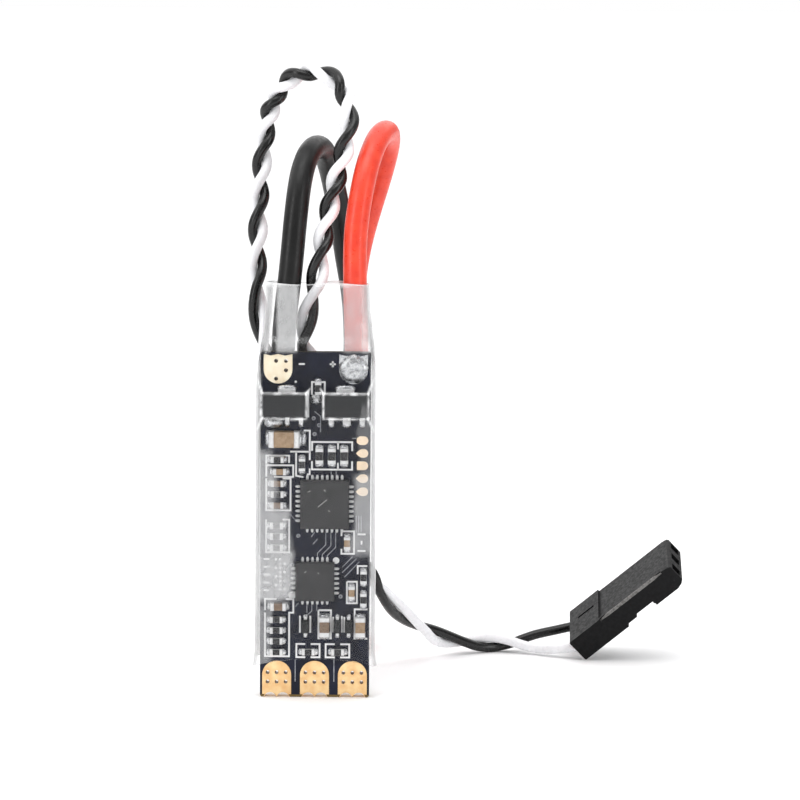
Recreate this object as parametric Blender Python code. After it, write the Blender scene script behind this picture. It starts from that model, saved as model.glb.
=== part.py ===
"""Electronic speed controller for one multirotor motor, standing on its motor-pad end.

A narrow circuit board stands upright in a clear shrink sleeve. Two power leads leave its top, arch over
and come down behind it to the ground, where they prop it up. A twisted signal pair ends in a servo plug.

X runs across the board, +Z along it, and its parts side faces -Y. The origin is at the middle of the base of
the box around the board and its sleeve. Lengths below are in millimetres, and MM scales them to metres.
"""

import math

import bmesh
import bpy
import numpy as np
from mathutils import Euler, Matrix, Vector

MM = 0.001
GAP = 0.02  # between pieces that touch on the real object

# Board
BOARD_WIDTH = 11.1
BOARD_LENGTH = 35.3
BOARD_THICKNESS = 1.2
BOARD_CORNER = 0.25
FRONT_Y = -1.1
BACK_Y = FRONT_Y + BOARD_THICKNESS
PLATING = 0.05  # thickness of a pad

# Motor pads, at the foot of the board
MOTOR_PAD_XS = (-3.85, 0.0, 3.85)
MOTOR_PAD_WIDTH = 2.95
MOTOR_PAD_FOOT = 0.28
MOTOR_PAD_TOP = 3.75
HALF_HOLE_OFFSET = 0.65
HALF_HOLE_RADIUS = 0.72
HALF_HOLE_Z = -0.17  # the board is cut off a little above the middle of its half holes
HALF_HOLE_FOOT = 0.03  # how low their plating reaches

# Battery pads, at the top of the board
BATTERY_PAD_X = 3.8
BATTERY_PAD_WIDTH = 2.9
BATTERY_PAD_FOOT = 32.1
BATTERY_PAD_TOP = 35.1
BATTERY_PAD_NOTCH = 0.14
SOLDER_DOME_HEIGHT = 0.55

# Shrink sleeve: (height, left, right, front, back, corner radius) of its outside, from its foot up
SLEEVE_WALL = 0.2
SLEEVE_SECTIONS = (
    (3.85, -6.25, 6.25, -2.4, 2.2, 1.1),
    (4.6, -5.98, 5.98, -2.6, 2.1, 1.0),
    (6.0, -5.95, 5.95, -2.9, 2.1, 1.0),
    (30.2, -5.95, 5.95, -2.9, 2.1, 1.0),
    (31.9, -5.95, 5.95, -2.9, 2.45, 1.0),
    (33.6, -5.9, 5.95, -2.3, 2.85, 0.9),
    (35.5, -5.8, 5.9, -1.8, 2.9, 1.0),
    (37.4, -5.4, 5.75, -0.7, 2.9, 1.3),
    (39.5, -5.2, 5.6, -0.15, 2.9, 1.4),
    (42.1, -5.15, 5.5, -0.1, 2.9, 1.4),
)
SLEEVE_CORNER_STEPS = 5

# Integrated circuits on the front: (name, x, z, side, height)
CHIPS = (
    ("microcontroller", 0.95, 19.9, 4.95, 0.9),
    ("gate_driver", 0.0, 12.0, 3.95, 0.85),
)
REGULATOR_SIZE = (4.4, 2.4, 1.5)  # across, along the board, height
REGULATORS = (
    ("voltage_regulator_left", -3.15, 30.0),
    ("voltage_regulator_right", 3.08, 30.0),
)

# Small parts with an end cap at each end
CAP_SHARE = 0.22  # of the length
CAP_PROUD = 0.03
CAPPED_SIZES = {  # length, width, height
    "small": (1.3, 0.66, 0.42),
    "resistor": (1.6, 0.8, 0.45),
    "capacitor": (1.6, 0.8, 0.8),
    "wide": (2.0, 1.05, 0.95),
    "supply": (3.1, 1.65, 1.4),
}
CAPPED_PARTS = (  # name, x, z, kind, upright
    ("supply_capacitor", -3.15, 26.55, "supply", False),
    ("filter_capacitor_1", -3.6, 23.15, "small", False),
    ("filter_capacitor_2", -3.85, 21.95, "small", False),
    ("filter_capacitor_3", 3.24, 15.9, "small", True),
    ("filter_capacitor_4", 3.72, 10.8, "small", True),
    ("boost_capacitor_1", -3.7, 9.4, "capacitor", False),
    ("boost_capacitor_2", 1.0, 7.35, "wide", True),
    ("boost_capacitor_3", 4.62, 7.35, "wide", True),
    ("resistor_1", -3.85, 24.4, "small", False),
    ("resistor_2", -1.35, 23.9, "small", True),
    ("resistor_3", 0.4, 24.8, "resistor", True),
    ("resistor_4", 1.65, 24.8, "resistor", True),
    ("resistor_5", 2.9, 24.8, "resistor", True),
    ("resistor_6", -3.85, 20.85, "small", False),
    ("resistor_7", -3.9, 17.65, "small", False),
    ("resistor_8", -3.9, 16.55, "small", False),
    ("resistor_9", -3.9, 15.4, "small", False),
    ("resistor_10", -3.9, 8.0, "small", False),
    ("resistor_11", -3.9, 6.9, "small", False),
    ("resistor_12", -3.9, 5.8, "small", False),
    ("resistor_13", -3.9, 4.65, "small", False),
    ("resistor_14", -0.65, 4.7, "small", False),
    ("resistor_15", 2.35, 4.7, "small", False),
)
DIODE_SIZE = (0.78, 1.35, 0.6)
DIODE_XS = (-0.95, 2.3, 3.45)
DIODE_Z = 7.35

# Power stage on the back
TRANSISTOR_SIZE = (4.9, 5.8, 1.0)
TRANSISTOR_XS = (-2.65, 2.65)
TRANSISTOR_ZS = (8.0, 14.1, 20.2)
BULK_CAPACITOR_SIZE = (3.2, 2.5, 1.6)
BULK_CAPACITOR_XS = (-3.4, 0.0, 3.4)
BULK_CAPACITOR_Z = 26.2

# Solder joints of the leads, on the back: (name, x, z, (half width, half length, height))
DOME_TURN = 78.0  # degrees of a quarter circle that a dome's side follows
POWER_JOINT = (1.4, 1.95, 1.9)
SIGNAL_JOINT = (0.5, 0.9, 0.8)
SOLDER_JOINTS = (
    ("negative_solder_joint", -3.6, 32.6, POWER_JOINT),
    ("positive_solder_joint", 3.9, 32.6, POWER_JOINT),
    ("signal_solder_joint", 0.1, 33.6, SIGNAL_JOINT),
    ("ground_solder_joint", -1.4, 33.6, SIGNAL_JOINT),
)

# Leads. Each route is a smooth curve through its points, from the board's top edge to the free end.
POWER_LEAD_DIAMETER = 2.4
POWER_STRANDS_DIAMETER = 1.3
POWER_STRANDS_LENGTH = 3.5
SIGNAL_LEAD_DIAMETER = 2.0
POINTS_EACH_DIAMETERS = 2.2  # spacing of a tube's points along its route, in diameters
LEAD_END_GAP = 0.3
NEGATIVE_ROUTE = (
    (-3.4, 1.4, 34.9),
    (-3.25, 1.4, 37.8),
    (-3.0, 1.4, 40.3),
    (-2.7, 1.45, 42.9),
    (-2.35, 2.0, 46.8),
    (-2.0, 3.1, 50.5),
    (-1.45, 5.2, 53.7),
    (-0.6, 8.0, 55.3),
    (0.25, 11.0, 55.1),
    (0.95, 13.5, 53.2),
    (1.55, 15.2, 50.4),
    (2.15, 16.2, 47.2),
    (2.7, 16.7, 43.5),
    (3.3, 16.9, 40.0),
    (3.65, 17.1, 34.0),
    (3.4, 17.2, 27.0),
    (2.7, 17.4, 19.5),
    (1.9, 18.0, 13.0),
    (1.1, 19.6, 7.2),
    (0.2, 22.3, 3.4),
    (-0.8, 26.1, 1.6),
    (-1.9, 31.2, 1.25),
)
POSITIVE_ROUTE = (
    (4.05, 1.4, 34.9),
    (4.0, 1.4, 37.8),
    (3.9, 1.4, 40.3),
    (3.85, 1.45, 42.9),
    (3.9, 2.0, 46.9),
    (4.4, 3.2, 50.9),
    (5.2, 5.3, 54.4),
    (6.15, 8.0, 56.5),
    (6.95, 11.1, 56.9),
    (7.1, 13.9, 55.7),
    (6.6, 16.1, 53.2),
    (5.6, 17.9, 49.7),
    (4.4, 19.1, 45.4),
    (3.6, 19.9, 40.3),
    (3.72, 20.3, 34.0),
    (3.75, 20.6, 27.0),
    (3.75, 20.8, 19.5),
    (3.75, 21.2, 13.0),
    (3.75, 22.6, 7.2),
    (3.75, 25.2, 3.2),
    (3.7, 28.1, 1.6),
    (3.6, 31.0, 1.25),
)
SIGNAL_ROUTE = (
    (-1.0, 1.4, 35.9),
    (-0.8, 1.4, 37.8),
    (-0.6, 1.4, 39.6),
    (-0.05, 1.5, 42.3),
    (0.5, 2.2, 45.6),
    (1.2, 3.2, 49.5),
    (2.05, 4.0, 53.0),
    (2.75, 4.7, 55.9),
    (3.1, 5.5, 58.3),
    (2.85, 6.3, 60.3),
    (2.0, 7.2, 61.9),
    (0.7, 8.0, 62.9),
    (-0.8, 8.7, 63.2),
    (-2.25, 9.3, 62.85),
    (-3.55, 9.8, 61.9),
    (-4.6, 10.1, 60.4),
    (-5.25, 10.3, 58.5),
    (-5.65, 10.3, 56.3),
    (-5.9, 10.1, 54.0),
    (-6.1, 9.7, 51.4),
    (-6.25, 9.1, 48.4),
    (-6.3, 8.3, 44.8),
    (-6.3, 7.5, 41.2),
    (-6.1, 7.0, 38.2),
    (-5.2, 6.7, 33.6),
    (-3.6, 6.8, 28.6),
    (-1.6, 7.1, 23.8),
    (0.6, 7.6, 19.2),
    (3.0, 8.5, 14.4),
    (5.1, 9.8, 11.0),
    (7.0, 11.9, 8.2),
    (9.1, 14.9, 5.5),
    (11.5, 18.2, 3.2),
    (13.9, 20.9, 1.7),
    (16.4, 22.5, 1.12),
    (18.9, 23.0, 1.05),
    (21.0, 22.95, 1.1),
    (23.2, 22.7, 1.25),
    (25.3, 22.4, 1.5),
    (27.4, 22.25, 1.85),
)

# Servo plug: along its local x from the wire end to the mouth, y across its three ways, z through it
PLUG_LENGTH = 14.0
PLUG_WIDTH = 7.6
PLUG_THICKNESS = 2.7
PLUG_BEVEL = 0.12
PLUG_PITCH = 2.54
PLUG_REAR = (27.92, 22.1)  # x and y of the middle of its wire end
PLUG_HEADING, PLUG_RISE, PLUG_ROLL = -16.2, 40.1, 20.6  # degrees
PLUG_STEP = 4.2  # where its thick wire end stops
PLUG_RECESS_DEPTH = 0.22
PLUG_RAIL = 0.4
PLUG_WAY_SIDE = 1.7
PLUG_MOUTH_SIDE = 1.2
PLUG_WAY_DEPTH = 9.0
PLUG_LATCH_FROM, PLUG_LATCH_TO, PLUG_LATCH_DEPTH = 6.2, 10.1, 0.35
CONTACT_SECTIONS = ((1.6, 0.5), (3.2, 0.5), (3.6, 0.65), (8.0, 0.65))  # local x, half side


def material(name, colour, roughness, metallic=0.0, alpha=1.0):
    """A Principled material. Its colour is linear RGB."""
    made = bpy.data.materials.new(name)
    made.use_nodes = True
    shader = made.node_tree.nodes["Principled BSDF"]
    shader.inputs["Base Color"].default_value = (*colour, 1.0)
    shader.inputs["Roughness"].default_value = roughness
    shader.inputs["Metallic"].default_value = metallic
    shader.inputs["Alpha"].default_value = alpha
    made.diffuse_color = (*colour, alpha)
    return made


def add_object(name, data, finish, parent):
    made = bpy.data.objects.new(name, data)
    bpy.context.scene.collection.objects.link(made)
    made.parent = parent
    made.data.materials.append(finish)
    return made


def mesh_object(name, bm, finish, parent, place=(0.0, 0.0, 0.0), turned=False, sharp_angle=35.0):
    """An object in metres from a bmesh in millimetres. Turned, its front faces +Y instead of -Y."""
    bmesh.ops.recalc_face_normals(bm, faces=bm.faces[:])
    bmesh.ops.scale(bm, vec=(MM, MM, MM), verts=bm.verts[:])
    mesh = bpy.data.meshes.new(name)
    bm.to_mesh(mesh)
    bm.free()
    mesh.shade_smooth()
    mesh.set_sharp_from_angle(angle=math.radians(sharp_angle))
    made = add_object(name, mesh, finish, parent)
    made.location = Vector(place) * MM
    made.rotation_euler.z = math.pi if turned else 0.0
    return made


def arc(centre_x, centre_z, radius, start, end, steps):
    """Points of an arc, from start to end in degrees."""
    angles = [math.radians(start + (end - start) * i / steps) for i in range(steps + 1)]
    return [(centre_x + radius * math.cos(a), centre_z + radius * math.sin(a)) for a in angles]


def rounded_rectangle(low_x, high_x, low_y, high_y, radius, steps):
    """The corners' arcs, anticlockwise from the low x, low y corner."""
    return (
        arc(low_x + radius, low_y + radius, radius, 180, 270, steps)
        + arc(high_x - radius, low_y + radius, radius, 270, 360, steps)
        + arc(high_x - radius, high_y - radius, radius, 0, 90, steps)
        + arc(low_x + radius, high_y - radius, radius, 90, 180, steps)
    )


def lofted(rings, ring_closed=False):
    """A bmesh with a skin over rings of equal counts of points. It is capped, or joined last to first."""
    bm = bmesh.new()
    rows = [[bm.verts.new(point) for point in ring] for ring in rings]
    pairs = list(zip(rows, rows[1:]))
    if ring_closed:
        pairs.append((rows[-1], rows[0]))
    else:
        bm.faces.new(rows[0])
        bm.faces.new(rows[-1])
    for lower, upper in pairs:
        for i, corner in enumerate(lower):
            after = (i + 1) % len(lower)
            bm.faces.new((corner, lower[after], upper[after], upper[i]))
    return bm


def plate(outline, near_y, far_y):
    """A bmesh of an (x, z) outline extruded along Y."""
    return lofted([[(x, y, z) for x, z in outline] for y in (near_y, far_y)])


def chip(size, chamfer):
    """A moulded body of (width, length, height) that stands on y = 0 and rises to -Y."""
    width, length, height = size
    draft = 0.3 * chamfer
    rings = []
    for rise, inset in ((0.0, 0.0), (height - chamfer, draft), (height, chamfer)):
        across, along = width / 2 - inset, length / 2 - inset
        corners = ((-across, -along), (across, -along), (across, along), (-across, along))
        rings.append([(x, -rise, z) for x, z in corners])
    return lofted(rings)


def capped_body(length, width, height, upright):
    """A small part whose end caps stand a little proud of its sides."""
    waist = width / 2 - CAP_PROUD
    cap = (0.5 - CAP_SHARE) * length
    right = [
        (cap, -waist),
        (cap, -width / 2),
        (length / 2, -width / 2),
        (length / 2, width / 2),
        (cap, width / 2),
        (cap, waist),
    ]
    outline = right + [(-along, -across) for along, across in right]
    if upright:
        outline = [(-across, along) for along, across in outline]
    return plate(outline, -height, 0.0)


def dome(half_width, half_length, height, steps=12, levels=4):
    """A solder joint: an oval on y = 0 that rises to -Y in rounded rings."""
    rings = []
    for level in range(levels + 1):
        turn = math.radians(DOME_TURN * level / levels)
        across, along = half_width * math.cos(turn), half_length * math.cos(turn)
        angles = [math.tau * i / steps for i in range(steps)]
        y = -height * math.sin(turn) / math.sin(math.radians(DOME_TURN))
        rings.append([(across * math.cos(a), y, along * math.sin(a)) for a in angles])
    return lofted(rings)


def boolean(target, other, operation):
    other.hide_render = True
    other.display_type = "WIRE"
    modifier = target.modifiers.new(f"{operation.lower()} {other.name}", "BOOLEAN")
    modifier.operation = operation
    modifier.object = other


def smooth_path(points, samples=24):
    """Points along the cubic spline through the route's own points, straight at both ends."""
    points = np.array(points)
    spans = np.linalg.norm(np.diff(points, axis=0), axis=1)
    chords = np.diff(points, axis=0) / spans[:, None]
    last = len(points) - 1
    system = np.zeros((last + 1, last + 1))
    wanted = np.zeros_like(points)
    system[0, :2] = 2.0, 1.0
    system[last, last - 1 :] = 1.0, 2.0
    wanted[0] = 3.0 * chords[0]
    wanted[last] = 3.0 * chords[-1]
    for i in range(1, last):
        before, after = spans[i - 1], spans[i]
        system[i, i - 1 : i + 2] = after, 2.0 * (before + after), before
        wanted[i] = 3.0 * (after * chords[i - 1] + before * chords[i])
    slopes = np.linalg.solve(system, wanted)
    path = []
    for i in range(last):
        for t in np.arange(samples) / samples:
            place = (2 * t**3 - 3 * t**2 + 1) * points[i] + (3 * t**2 - 2 * t**3) * points[i + 1]
            place += ((t**3 - 2 * t**2 + t) * slopes[i] + (t**3 - t**2) * slopes[i + 1]) * spans[i]
            path.append(Vector(place))
    path.append(Vector(points[-1]))
    return path


def evenly_spaced(path, spacing):
    """Points along the path, as near as its length allows to the spacing."""
    lengths = [(b - a).length for a, b in zip(path, path[1:])]
    total = sum(lengths)
    count = max(2, round(total / spacing))
    spaced = [path[0]]
    walked, i = 0.0, 0
    for step in range(1, count):
        wanted = total * step / count
        while walked + lengths[i] < wanted:
            walked += lengths[i]
            i += 1
        spaced.append(path[i].lerp(path[i + 1], (wanted - walked) / lengths[i]))
    spaced.append(path[-1])
    return spaced


def tube(name, points, diameter, finish, parent):
    """A round lead: a poly curve with a bevel and filled caps."""
    curve = bpy.data.curves.new(name, "CURVE")
    curve.dimensions = "3D"
    curve.bevel_depth = diameter / 2 * MM
    curve.bevel_resolution = 2
    curve.use_fill_caps = True
    curve.twist_mode = "MINIMUM"
    spline = curve.splines.new("POLY")
    spline.points.add(len(points) - 1)
    for place, point in zip(spline.points, points):
        place.co = (*(point * MM), 1.0)
    return add_object(name, curve, finish, parent)


def half_hole_line(x, radius, foot):
    """The edge of the two half holes under a motor pad, from left to right. It starts and ends at foot."""
    start = math.degrees(math.asin((foot - HALF_HOLE_Z) / radius))
    meet = math.degrees(math.acos(min(HALF_HOLE_OFFSET / radius, 1.0)))
    meet = max(meet, math.degrees(math.asin((HALF_HOLE_FOOT - HALF_HOLE_Z) / radius)))
    left = arc(x - HALF_HOLE_OFFSET, HALF_HOLE_Z, radius, 180 - start, meet, 8)
    right = arc(x + HALF_HOLE_OFFSET, HALF_HOLE_Z, radius, 180 - meet, start, 8)
    apart = right[0][0] - left[-1][0] > GAP / 2
    return left + (right if apart else right[1:])


def make_board(mask, parent):
    """The board, with a pair of plated half holes under every motor pad."""
    half = BOARD_WIDTH / 2
    outline = arc(-half + BOARD_CORNER, BOARD_CORNER, BOARD_CORNER, 180, 270, 3)
    for pad_x in MOTOR_PAD_XS:
        outline += half_hole_line(pad_x, HALF_HOLE_RADIUS, 0.0)
    outline += arc(half - BOARD_CORNER, BOARD_CORNER, BOARD_CORNER, 270, 360, 3)
    outline += arc(half - BOARD_CORNER, BOARD_LENGTH - BOARD_CORNER, BOARD_CORNER, 0, 90, 3)
    outline += arc(-half + BOARD_CORNER, BOARD_LENGTH - BOARD_CORNER, BOARD_CORNER, 90, 180, 3)
    mesh_object("circuit_board", plate(outline, FRONT_Y, BACK_Y), mask, parent)


def motor_pad_outline():
    """A pad with a round top, scalloped at its foot where it meets the linings of its half holes."""
    half = MOTOR_PAD_WIDTH / 2
    outline = [(-half, MOTOR_PAD_FOOT)]
    outline += half_hole_line(0.0, HALF_HOLE_RADIUS - GAP - PLATING / 2, MOTOR_PAD_FOOT)
    outline.append((half, MOTOR_PAD_FOOT))
    outline += arc(0.0, MOTOR_PAD_TOP - half, half, 0, 180, 14)
    return outline


def make_motor_pads(gold, parent):
    """Each pad lies on both sides of the board and lines its two half holes, all in one piece."""
    front = FRONT_Y - GAP
    back = BACK_Y + GAP
    outer = HALF_HOLE_RADIUS - GAP
    lining = half_hole_line(0.0, outer, HALF_HOLE_FOOT)
    lining += half_hole_line(0.0, outer - PLATING, HALF_HOLE_FOOT)[::-1]
    for name, x in zip(("left", "middle", "right"), MOTOR_PAD_XS):
        place = (x, 0.0, 0.0)
        near = plate(motor_pad_outline(), front - PLATING, front)
        pad = mesh_object(f"motor_pad_{name}", near, gold, parent, place)
        rear = plate(motor_pad_outline(), back, back + PLATING)
        boolean(pad, mesh_object(f"motor_pad_{name}_rear", rear, gold, parent, place), "UNION")
        shell = plate(lining, front - PLATING / 2, back + PLATING / 2)
        boolean(pad, mesh_object(f"motor_pad_{name}_lining", shell, gold, parent, place), "UNION")


def make_battery_pads(gold, solder, parent):
    """The front battery pads: the negative one is bare, and the positive one is under a dome of solder."""
    half = BATTERY_PAD_WIDTH / 2
    length = BATTERY_PAD_TOP - BATTERY_PAD_FOOT
    notched = length - BATTERY_PAD_NOTCH
    outline = arc(0.0, half, half, 180, 360, 14)
    outline += [(half, length), (half / 2, notched), (0.0, length), (-half / 2, notched), (-half, length)]
    front = FRONT_Y - GAP
    for name, x in (("negative", -BATTERY_PAD_X), ("positive", BATTERY_PAD_X)):
        place = (x, front, BATTERY_PAD_FOOT)
        mesh_object(f"battery_pad_{name}", plate(outline, -PLATING, 0.0), gold, parent, place)
    place = (BATTERY_PAD_X, front - PLATING - GAP, BATTERY_PAD_FOOT + length / 2)
    mesh_object("battery_pad_solder", dome(half, half, SOLDER_DOME_HEIGHT, 20, 5), solder, parent, place)


def make_sleeve(clear, parent):
    """The shrink sleeve: its outside from the foot up, then its inside back down."""
    outer, inner = [], []
    for z, left, right, front, back, corner in SLEEVE_SECTIONS:
        for rings, wall in ((outer, 0.0), (inner, SLEEVE_WALL)):
            across = (left + wall, right - wall)
            deep = (front + wall, back - wall)
            points = rounded_rectangle(*across, *deep, corner - wall, SLEEVE_CORNER_STEPS)
            rings.append([(x, y, z) for x, y in points])
    bm = lofted(outer + inner[::-1], ring_closed=True)
    mesh_object("heat_shrink_sleeve", bm, clear, parent, sharp_angle=60.0)


def make_front_parts(finishes, parent):
    front = FRONT_Y - GAP
    for name, x, z, side, height in CHIPS:
        mesh_object(name, chip((side, side, height), 0.05), finishes["chip"], parent, (x, front, z))
    for name, x, z in REGULATORS:
        mesh_object(name, chip(REGULATOR_SIZE, 0.12), finishes["chip"], parent, (x, front, z))
    for name, x, z, kind, upright in CAPPED_PARTS:
        finish = finishes["ceramic" if "capacitor" in name else "resistor"]
        mesh_object(name, capped_body(*CAPPED_SIZES[kind], upright), finish, parent, (x, front, z))
    for number, x in enumerate(DIODE_XS, 1):
        mesh_object(f"diode_{number}", chip(DIODE_SIZE, 0.08), finishes["chip"], parent, (x, front, DIODE_Z))


def make_back_parts(finishes, parent):
    """The power stage and the leads' solder joints."""
    back = BACK_Y + GAP
    places = [(x, back, z) for z in TRANSISTOR_ZS for x in TRANSISTOR_XS]
    for number, place in enumerate(places, 1):
        body = chip(TRANSISTOR_SIZE, 0.08)
        mesh_object(f"power_transistor_{number}", body, finishes["chip"], parent, place, True)
    for number, x in enumerate(BULK_CAPACITOR_XS, 1):
        body = capped_body(*BULK_CAPACITOR_SIZE, True)
        place = (x, back, BULK_CAPACITOR_Z)
        mesh_object(f"bulk_capacitor_{number}", body, finishes["ceramic"], parent, place, True)
    for name, x, z, size in SOLDER_JOINTS:
        mesh_object(name, dome(*size), finishes["solder"], parent, (x, back, z), True)


def make_power_lead(name, route, insulation, solder, parent):
    """The insulated lead, and its tinned strands, which lie on along the route's last direction."""
    points = evenly_spaced(smooth_path(route), POINTS_EACH_DIAMETERS * POWER_LEAD_DIAMETER)
    tube(name, points, POWER_LEAD_DIAMETER, insulation, parent)
    onwards = (points[-1] - points[-2]).normalized()
    onwards.z = 0.0
    start = points[-1] + onwards * LEAD_END_GAP
    strands = [start, start + onwards * POWER_STRANDS_LENGTH]
    tube(f"{name}_strands", strands, POWER_STRANDS_DIAMETER, solder, parent)


def block(name, low, high, finish, parent):
    """A plain box between two corners, for a cutter."""
    corners = ((low[0], low[1]), (high[0], low[1]), (high[0], high[1]), (low[0], high[1]))
    bm = lofted([[(x, y, z) for x, y in corners] for z in (low[2], high[2])])
    return mesh_object(name, bm, finish, parent)


def plug_matrix():
    """Places the plug with its lowest corner on the ground."""
    turn = Euler([math.radians(a) for a in (PLUG_ROLL, -PLUG_RISE, PLUG_HEADING)], "XYZ").to_matrix().to_4x4()
    half_width, half_thickness = PLUG_WIDTH / 2, PLUG_THICKNESS / 2
    corners = [
        turn @ Vector((x, y, z))
        for x in (0.0, PLUG_LENGTH)
        for y in (-half_width, half_width)
        for z in (-half_thickness, half_thickness)
    ]
    rise = -min(corner.z for corner in corners)
    return Matrix.Translation(Vector((*PLUG_REAR, rise)) * MM) @ turn


def make_plug(finishes, parent):
    """The plug's housing and its two contacts. The middle way is empty."""
    holder = bpy.data.objects.new("plug_place", None)
    bpy.context.scene.collection.objects.link(holder)
    holder.parent = parent
    holder.matrix_world = plug_matrix()
    half_width, half_thickness = PLUG_WIDTH / 2, PLUG_THICKNESS / 2
    plastic = finishes["plug"]
    bm = bmesh.new()
    bmesh.ops.create_cube(bm, size=1.0)
    bmesh.ops.scale(bm, vec=(PLUG_LENGTH, PLUG_WIDTH, PLUG_THICKNESS), verts=bm.verts[:])
    bmesh.ops.translate(bm, vec=(PLUG_LENGTH / 2, 0.0, 0.0), verts=bm.verts[:])
    bmesh.ops.bevel(bm, geom=bm.edges[:], offset=PLUG_BEVEL, segments=1, affect="EDGES")
    housing = mesh_object("plug_housing", bm, plastic, holder)
    past = 3.0  # a cutter's reach beyond the housing
    cutters = {
        "recess": (
            (PLUG_STEP, PLUG_RAIL - half_width, half_thickness - PLUG_RECESS_DEPTH),
            (PLUG_LENGTH + past, half_width + past, past),
        ),
        "groove": ((1.3, 0.5, half_thickness - PLUG_RECESS_DEPTH), (3.5, 0.85, past)),
        "latch_band": (
            (PLUG_LATCH_FROM, -half_width - past, -past),
            (PLUG_LATCH_TO, half_width + past, PLUG_LATCH_DEPTH - half_thickness),
        ),
    }
    way, mouth = PLUG_WAY_SIDE / 2, PLUG_MOUTH_SIDE / 2
    for number, y in enumerate((-PLUG_PITCH, 0.0, PLUG_PITCH), 1):
        cutters[f"way_{number}"] = ((-past, y - way, -way), (PLUG_WAY_DEPTH, y + way, way))
        start = PLUG_WAY_DEPTH - way
        cutters[f"mouth_{number}"] = ((start, y - mouth, -mouth), (PLUG_LENGTH + past, y + mouth, mouth))
    for name, (low, high) in cutters.items():
        boolean(housing, block(f"plug_{name}_cutter", low, high, plastic, holder), "DIFFERENCE")
    for name, y in (("signal_contact", -PLUG_PITCH), ("ground_contact", PLUG_PITCH)):
        rings = []
        for x, half in CONTACT_SECTIONS:
            rings.append([(x, half * dy, half * dz) for dy, dz in ((-1, -1), (1, -1), (1, 1), (-1, 1))])
        mesh_object(name, lofted(rings), finishes["contact"], holder, (0.0, y, 0.0))


def main():
    for old in list(bpy.data.objects):
        bpy.data.objects.remove(old)
    finishes = {
        "mask": material("solder_mask", (0.012, 0.014, 0.03), 0.35),
        "gold": material("gold_plate", (0.83, 0.6, 0.3), 0.3, 1.0),
        "solder": material("solder", (0.62, 0.63, 0.65), 0.35, 1.0),
        "chip": material("chip_plastic", (0.04, 0.04, 0.042), 0.5),
        "resistor": material("resistor_glaze", (0.05, 0.05, 0.055), 0.3),
        "ceramic": material("capacitor_ceramic", (0.42, 0.3, 0.2), 0.45),
        "clear": material("clear_sleeve", (0.85, 0.86, 0.88), 0.2, 0.0, 0.3),
        "black": material("black_silicone", (0.012, 0.012, 0.012), 0.45),
        "red": material("red_silicone", (0.78, 0.035, 0.02), 0.4),
        "pair": material("white_insulation", (0.8, 0.8, 0.82), 0.4),
        "plug": material("plug_plastic", (0.02, 0.02, 0.021), 0.55),
        "contact": material("contact_metal", (0.7, 0.6, 0.4), 0.3, 1.0),
    }
    controller = bpy.data.objects.new("speed_controller", None)
    bpy.context.scene.collection.objects.link(controller)
    make_board(finishes["mask"], controller)
    make_motor_pads(finishes["gold"], controller)
    make_battery_pads(finishes["gold"], finishes["solder"], controller)
    make_front_parts(finishes, controller)
    make_back_parts(finishes, controller)
    make_sleeve(finishes["clear"], controller)
    make_power_lead("negative_lead", NEGATIVE_ROUTE, finishes["black"], finishes["solder"], controller)
    make_power_lead("positive_lead", POSITIVE_ROUTE, finishes["red"], finishes["solder"], controller)
    pair = evenly_spaced(smooth_path(SIGNAL_ROUTE), POINTS_EACH_DIAMETERS * SIGNAL_LEAD_DIAMETER)
    tube("signal_lead", pair, SIGNAL_LEAD_DIAMETER, finishes["pair"], controller)
    make_plug(finishes, controller)


main()
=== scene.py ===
"""Looks for the electronic speed controller: its fine shapes and its materials, around the CAD frame.

Lengths here are in millimetres, and MM scales them to the frame's metres. X runs across the board and +Z
along it. Its parts side faces -Y.
"""

import math

import bmesh
import bpy
import numpy as np
from mathutils import Matrix, Vector, noise


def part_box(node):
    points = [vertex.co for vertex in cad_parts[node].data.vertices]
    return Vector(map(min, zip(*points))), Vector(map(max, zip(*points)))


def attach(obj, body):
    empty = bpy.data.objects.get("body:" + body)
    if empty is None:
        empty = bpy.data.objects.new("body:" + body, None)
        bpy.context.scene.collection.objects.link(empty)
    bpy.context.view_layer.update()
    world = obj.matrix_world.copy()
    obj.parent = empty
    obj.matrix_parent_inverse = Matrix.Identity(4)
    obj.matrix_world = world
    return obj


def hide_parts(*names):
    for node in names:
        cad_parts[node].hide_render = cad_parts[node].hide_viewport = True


MM = 0.001

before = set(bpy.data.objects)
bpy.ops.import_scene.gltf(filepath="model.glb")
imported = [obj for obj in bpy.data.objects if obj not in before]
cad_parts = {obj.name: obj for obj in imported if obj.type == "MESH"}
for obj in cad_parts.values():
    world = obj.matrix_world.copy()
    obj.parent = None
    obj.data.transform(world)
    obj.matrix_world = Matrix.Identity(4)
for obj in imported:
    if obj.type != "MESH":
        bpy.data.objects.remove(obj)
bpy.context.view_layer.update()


def box_mm(node):
    """Lowest and highest corner of a CAD node, in millimetres."""
    low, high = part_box(node)
    return low / MM, high / MM


def middle_and_half(node):
    """The middle of a CAD node across the board, and half its width."""
    low, high = box_mm(node)
    return (low.x + high.x) / 2, (high.x - low.x) / 2


BOARD_LOW, BOARD_HIGH = box_mm("circuit_board")
FRONT_Y = BOARD_LOW.y
BACK_Y = BOARD_HIGH.y
BOARD_HALF = BOARD_HIGH.x
BOARD_TOP = BOARD_HIGH.z
PLATING = 0.05  # how far the pads stand out of the board
INK = 0.02  # the same, for the legend and the traces
PAST = 3.0  # how far a cutter runs past what it cuts

# Camera
CAMERA_TARGET = (8.486, FRONT_Y, 30.525)
CAMERA_ELEVATION = 7.0
CAMERA_DISTANCE = 335.6
CAMERA_ROLL = 0.43
CAMERA_LENS = 150.0

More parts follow.
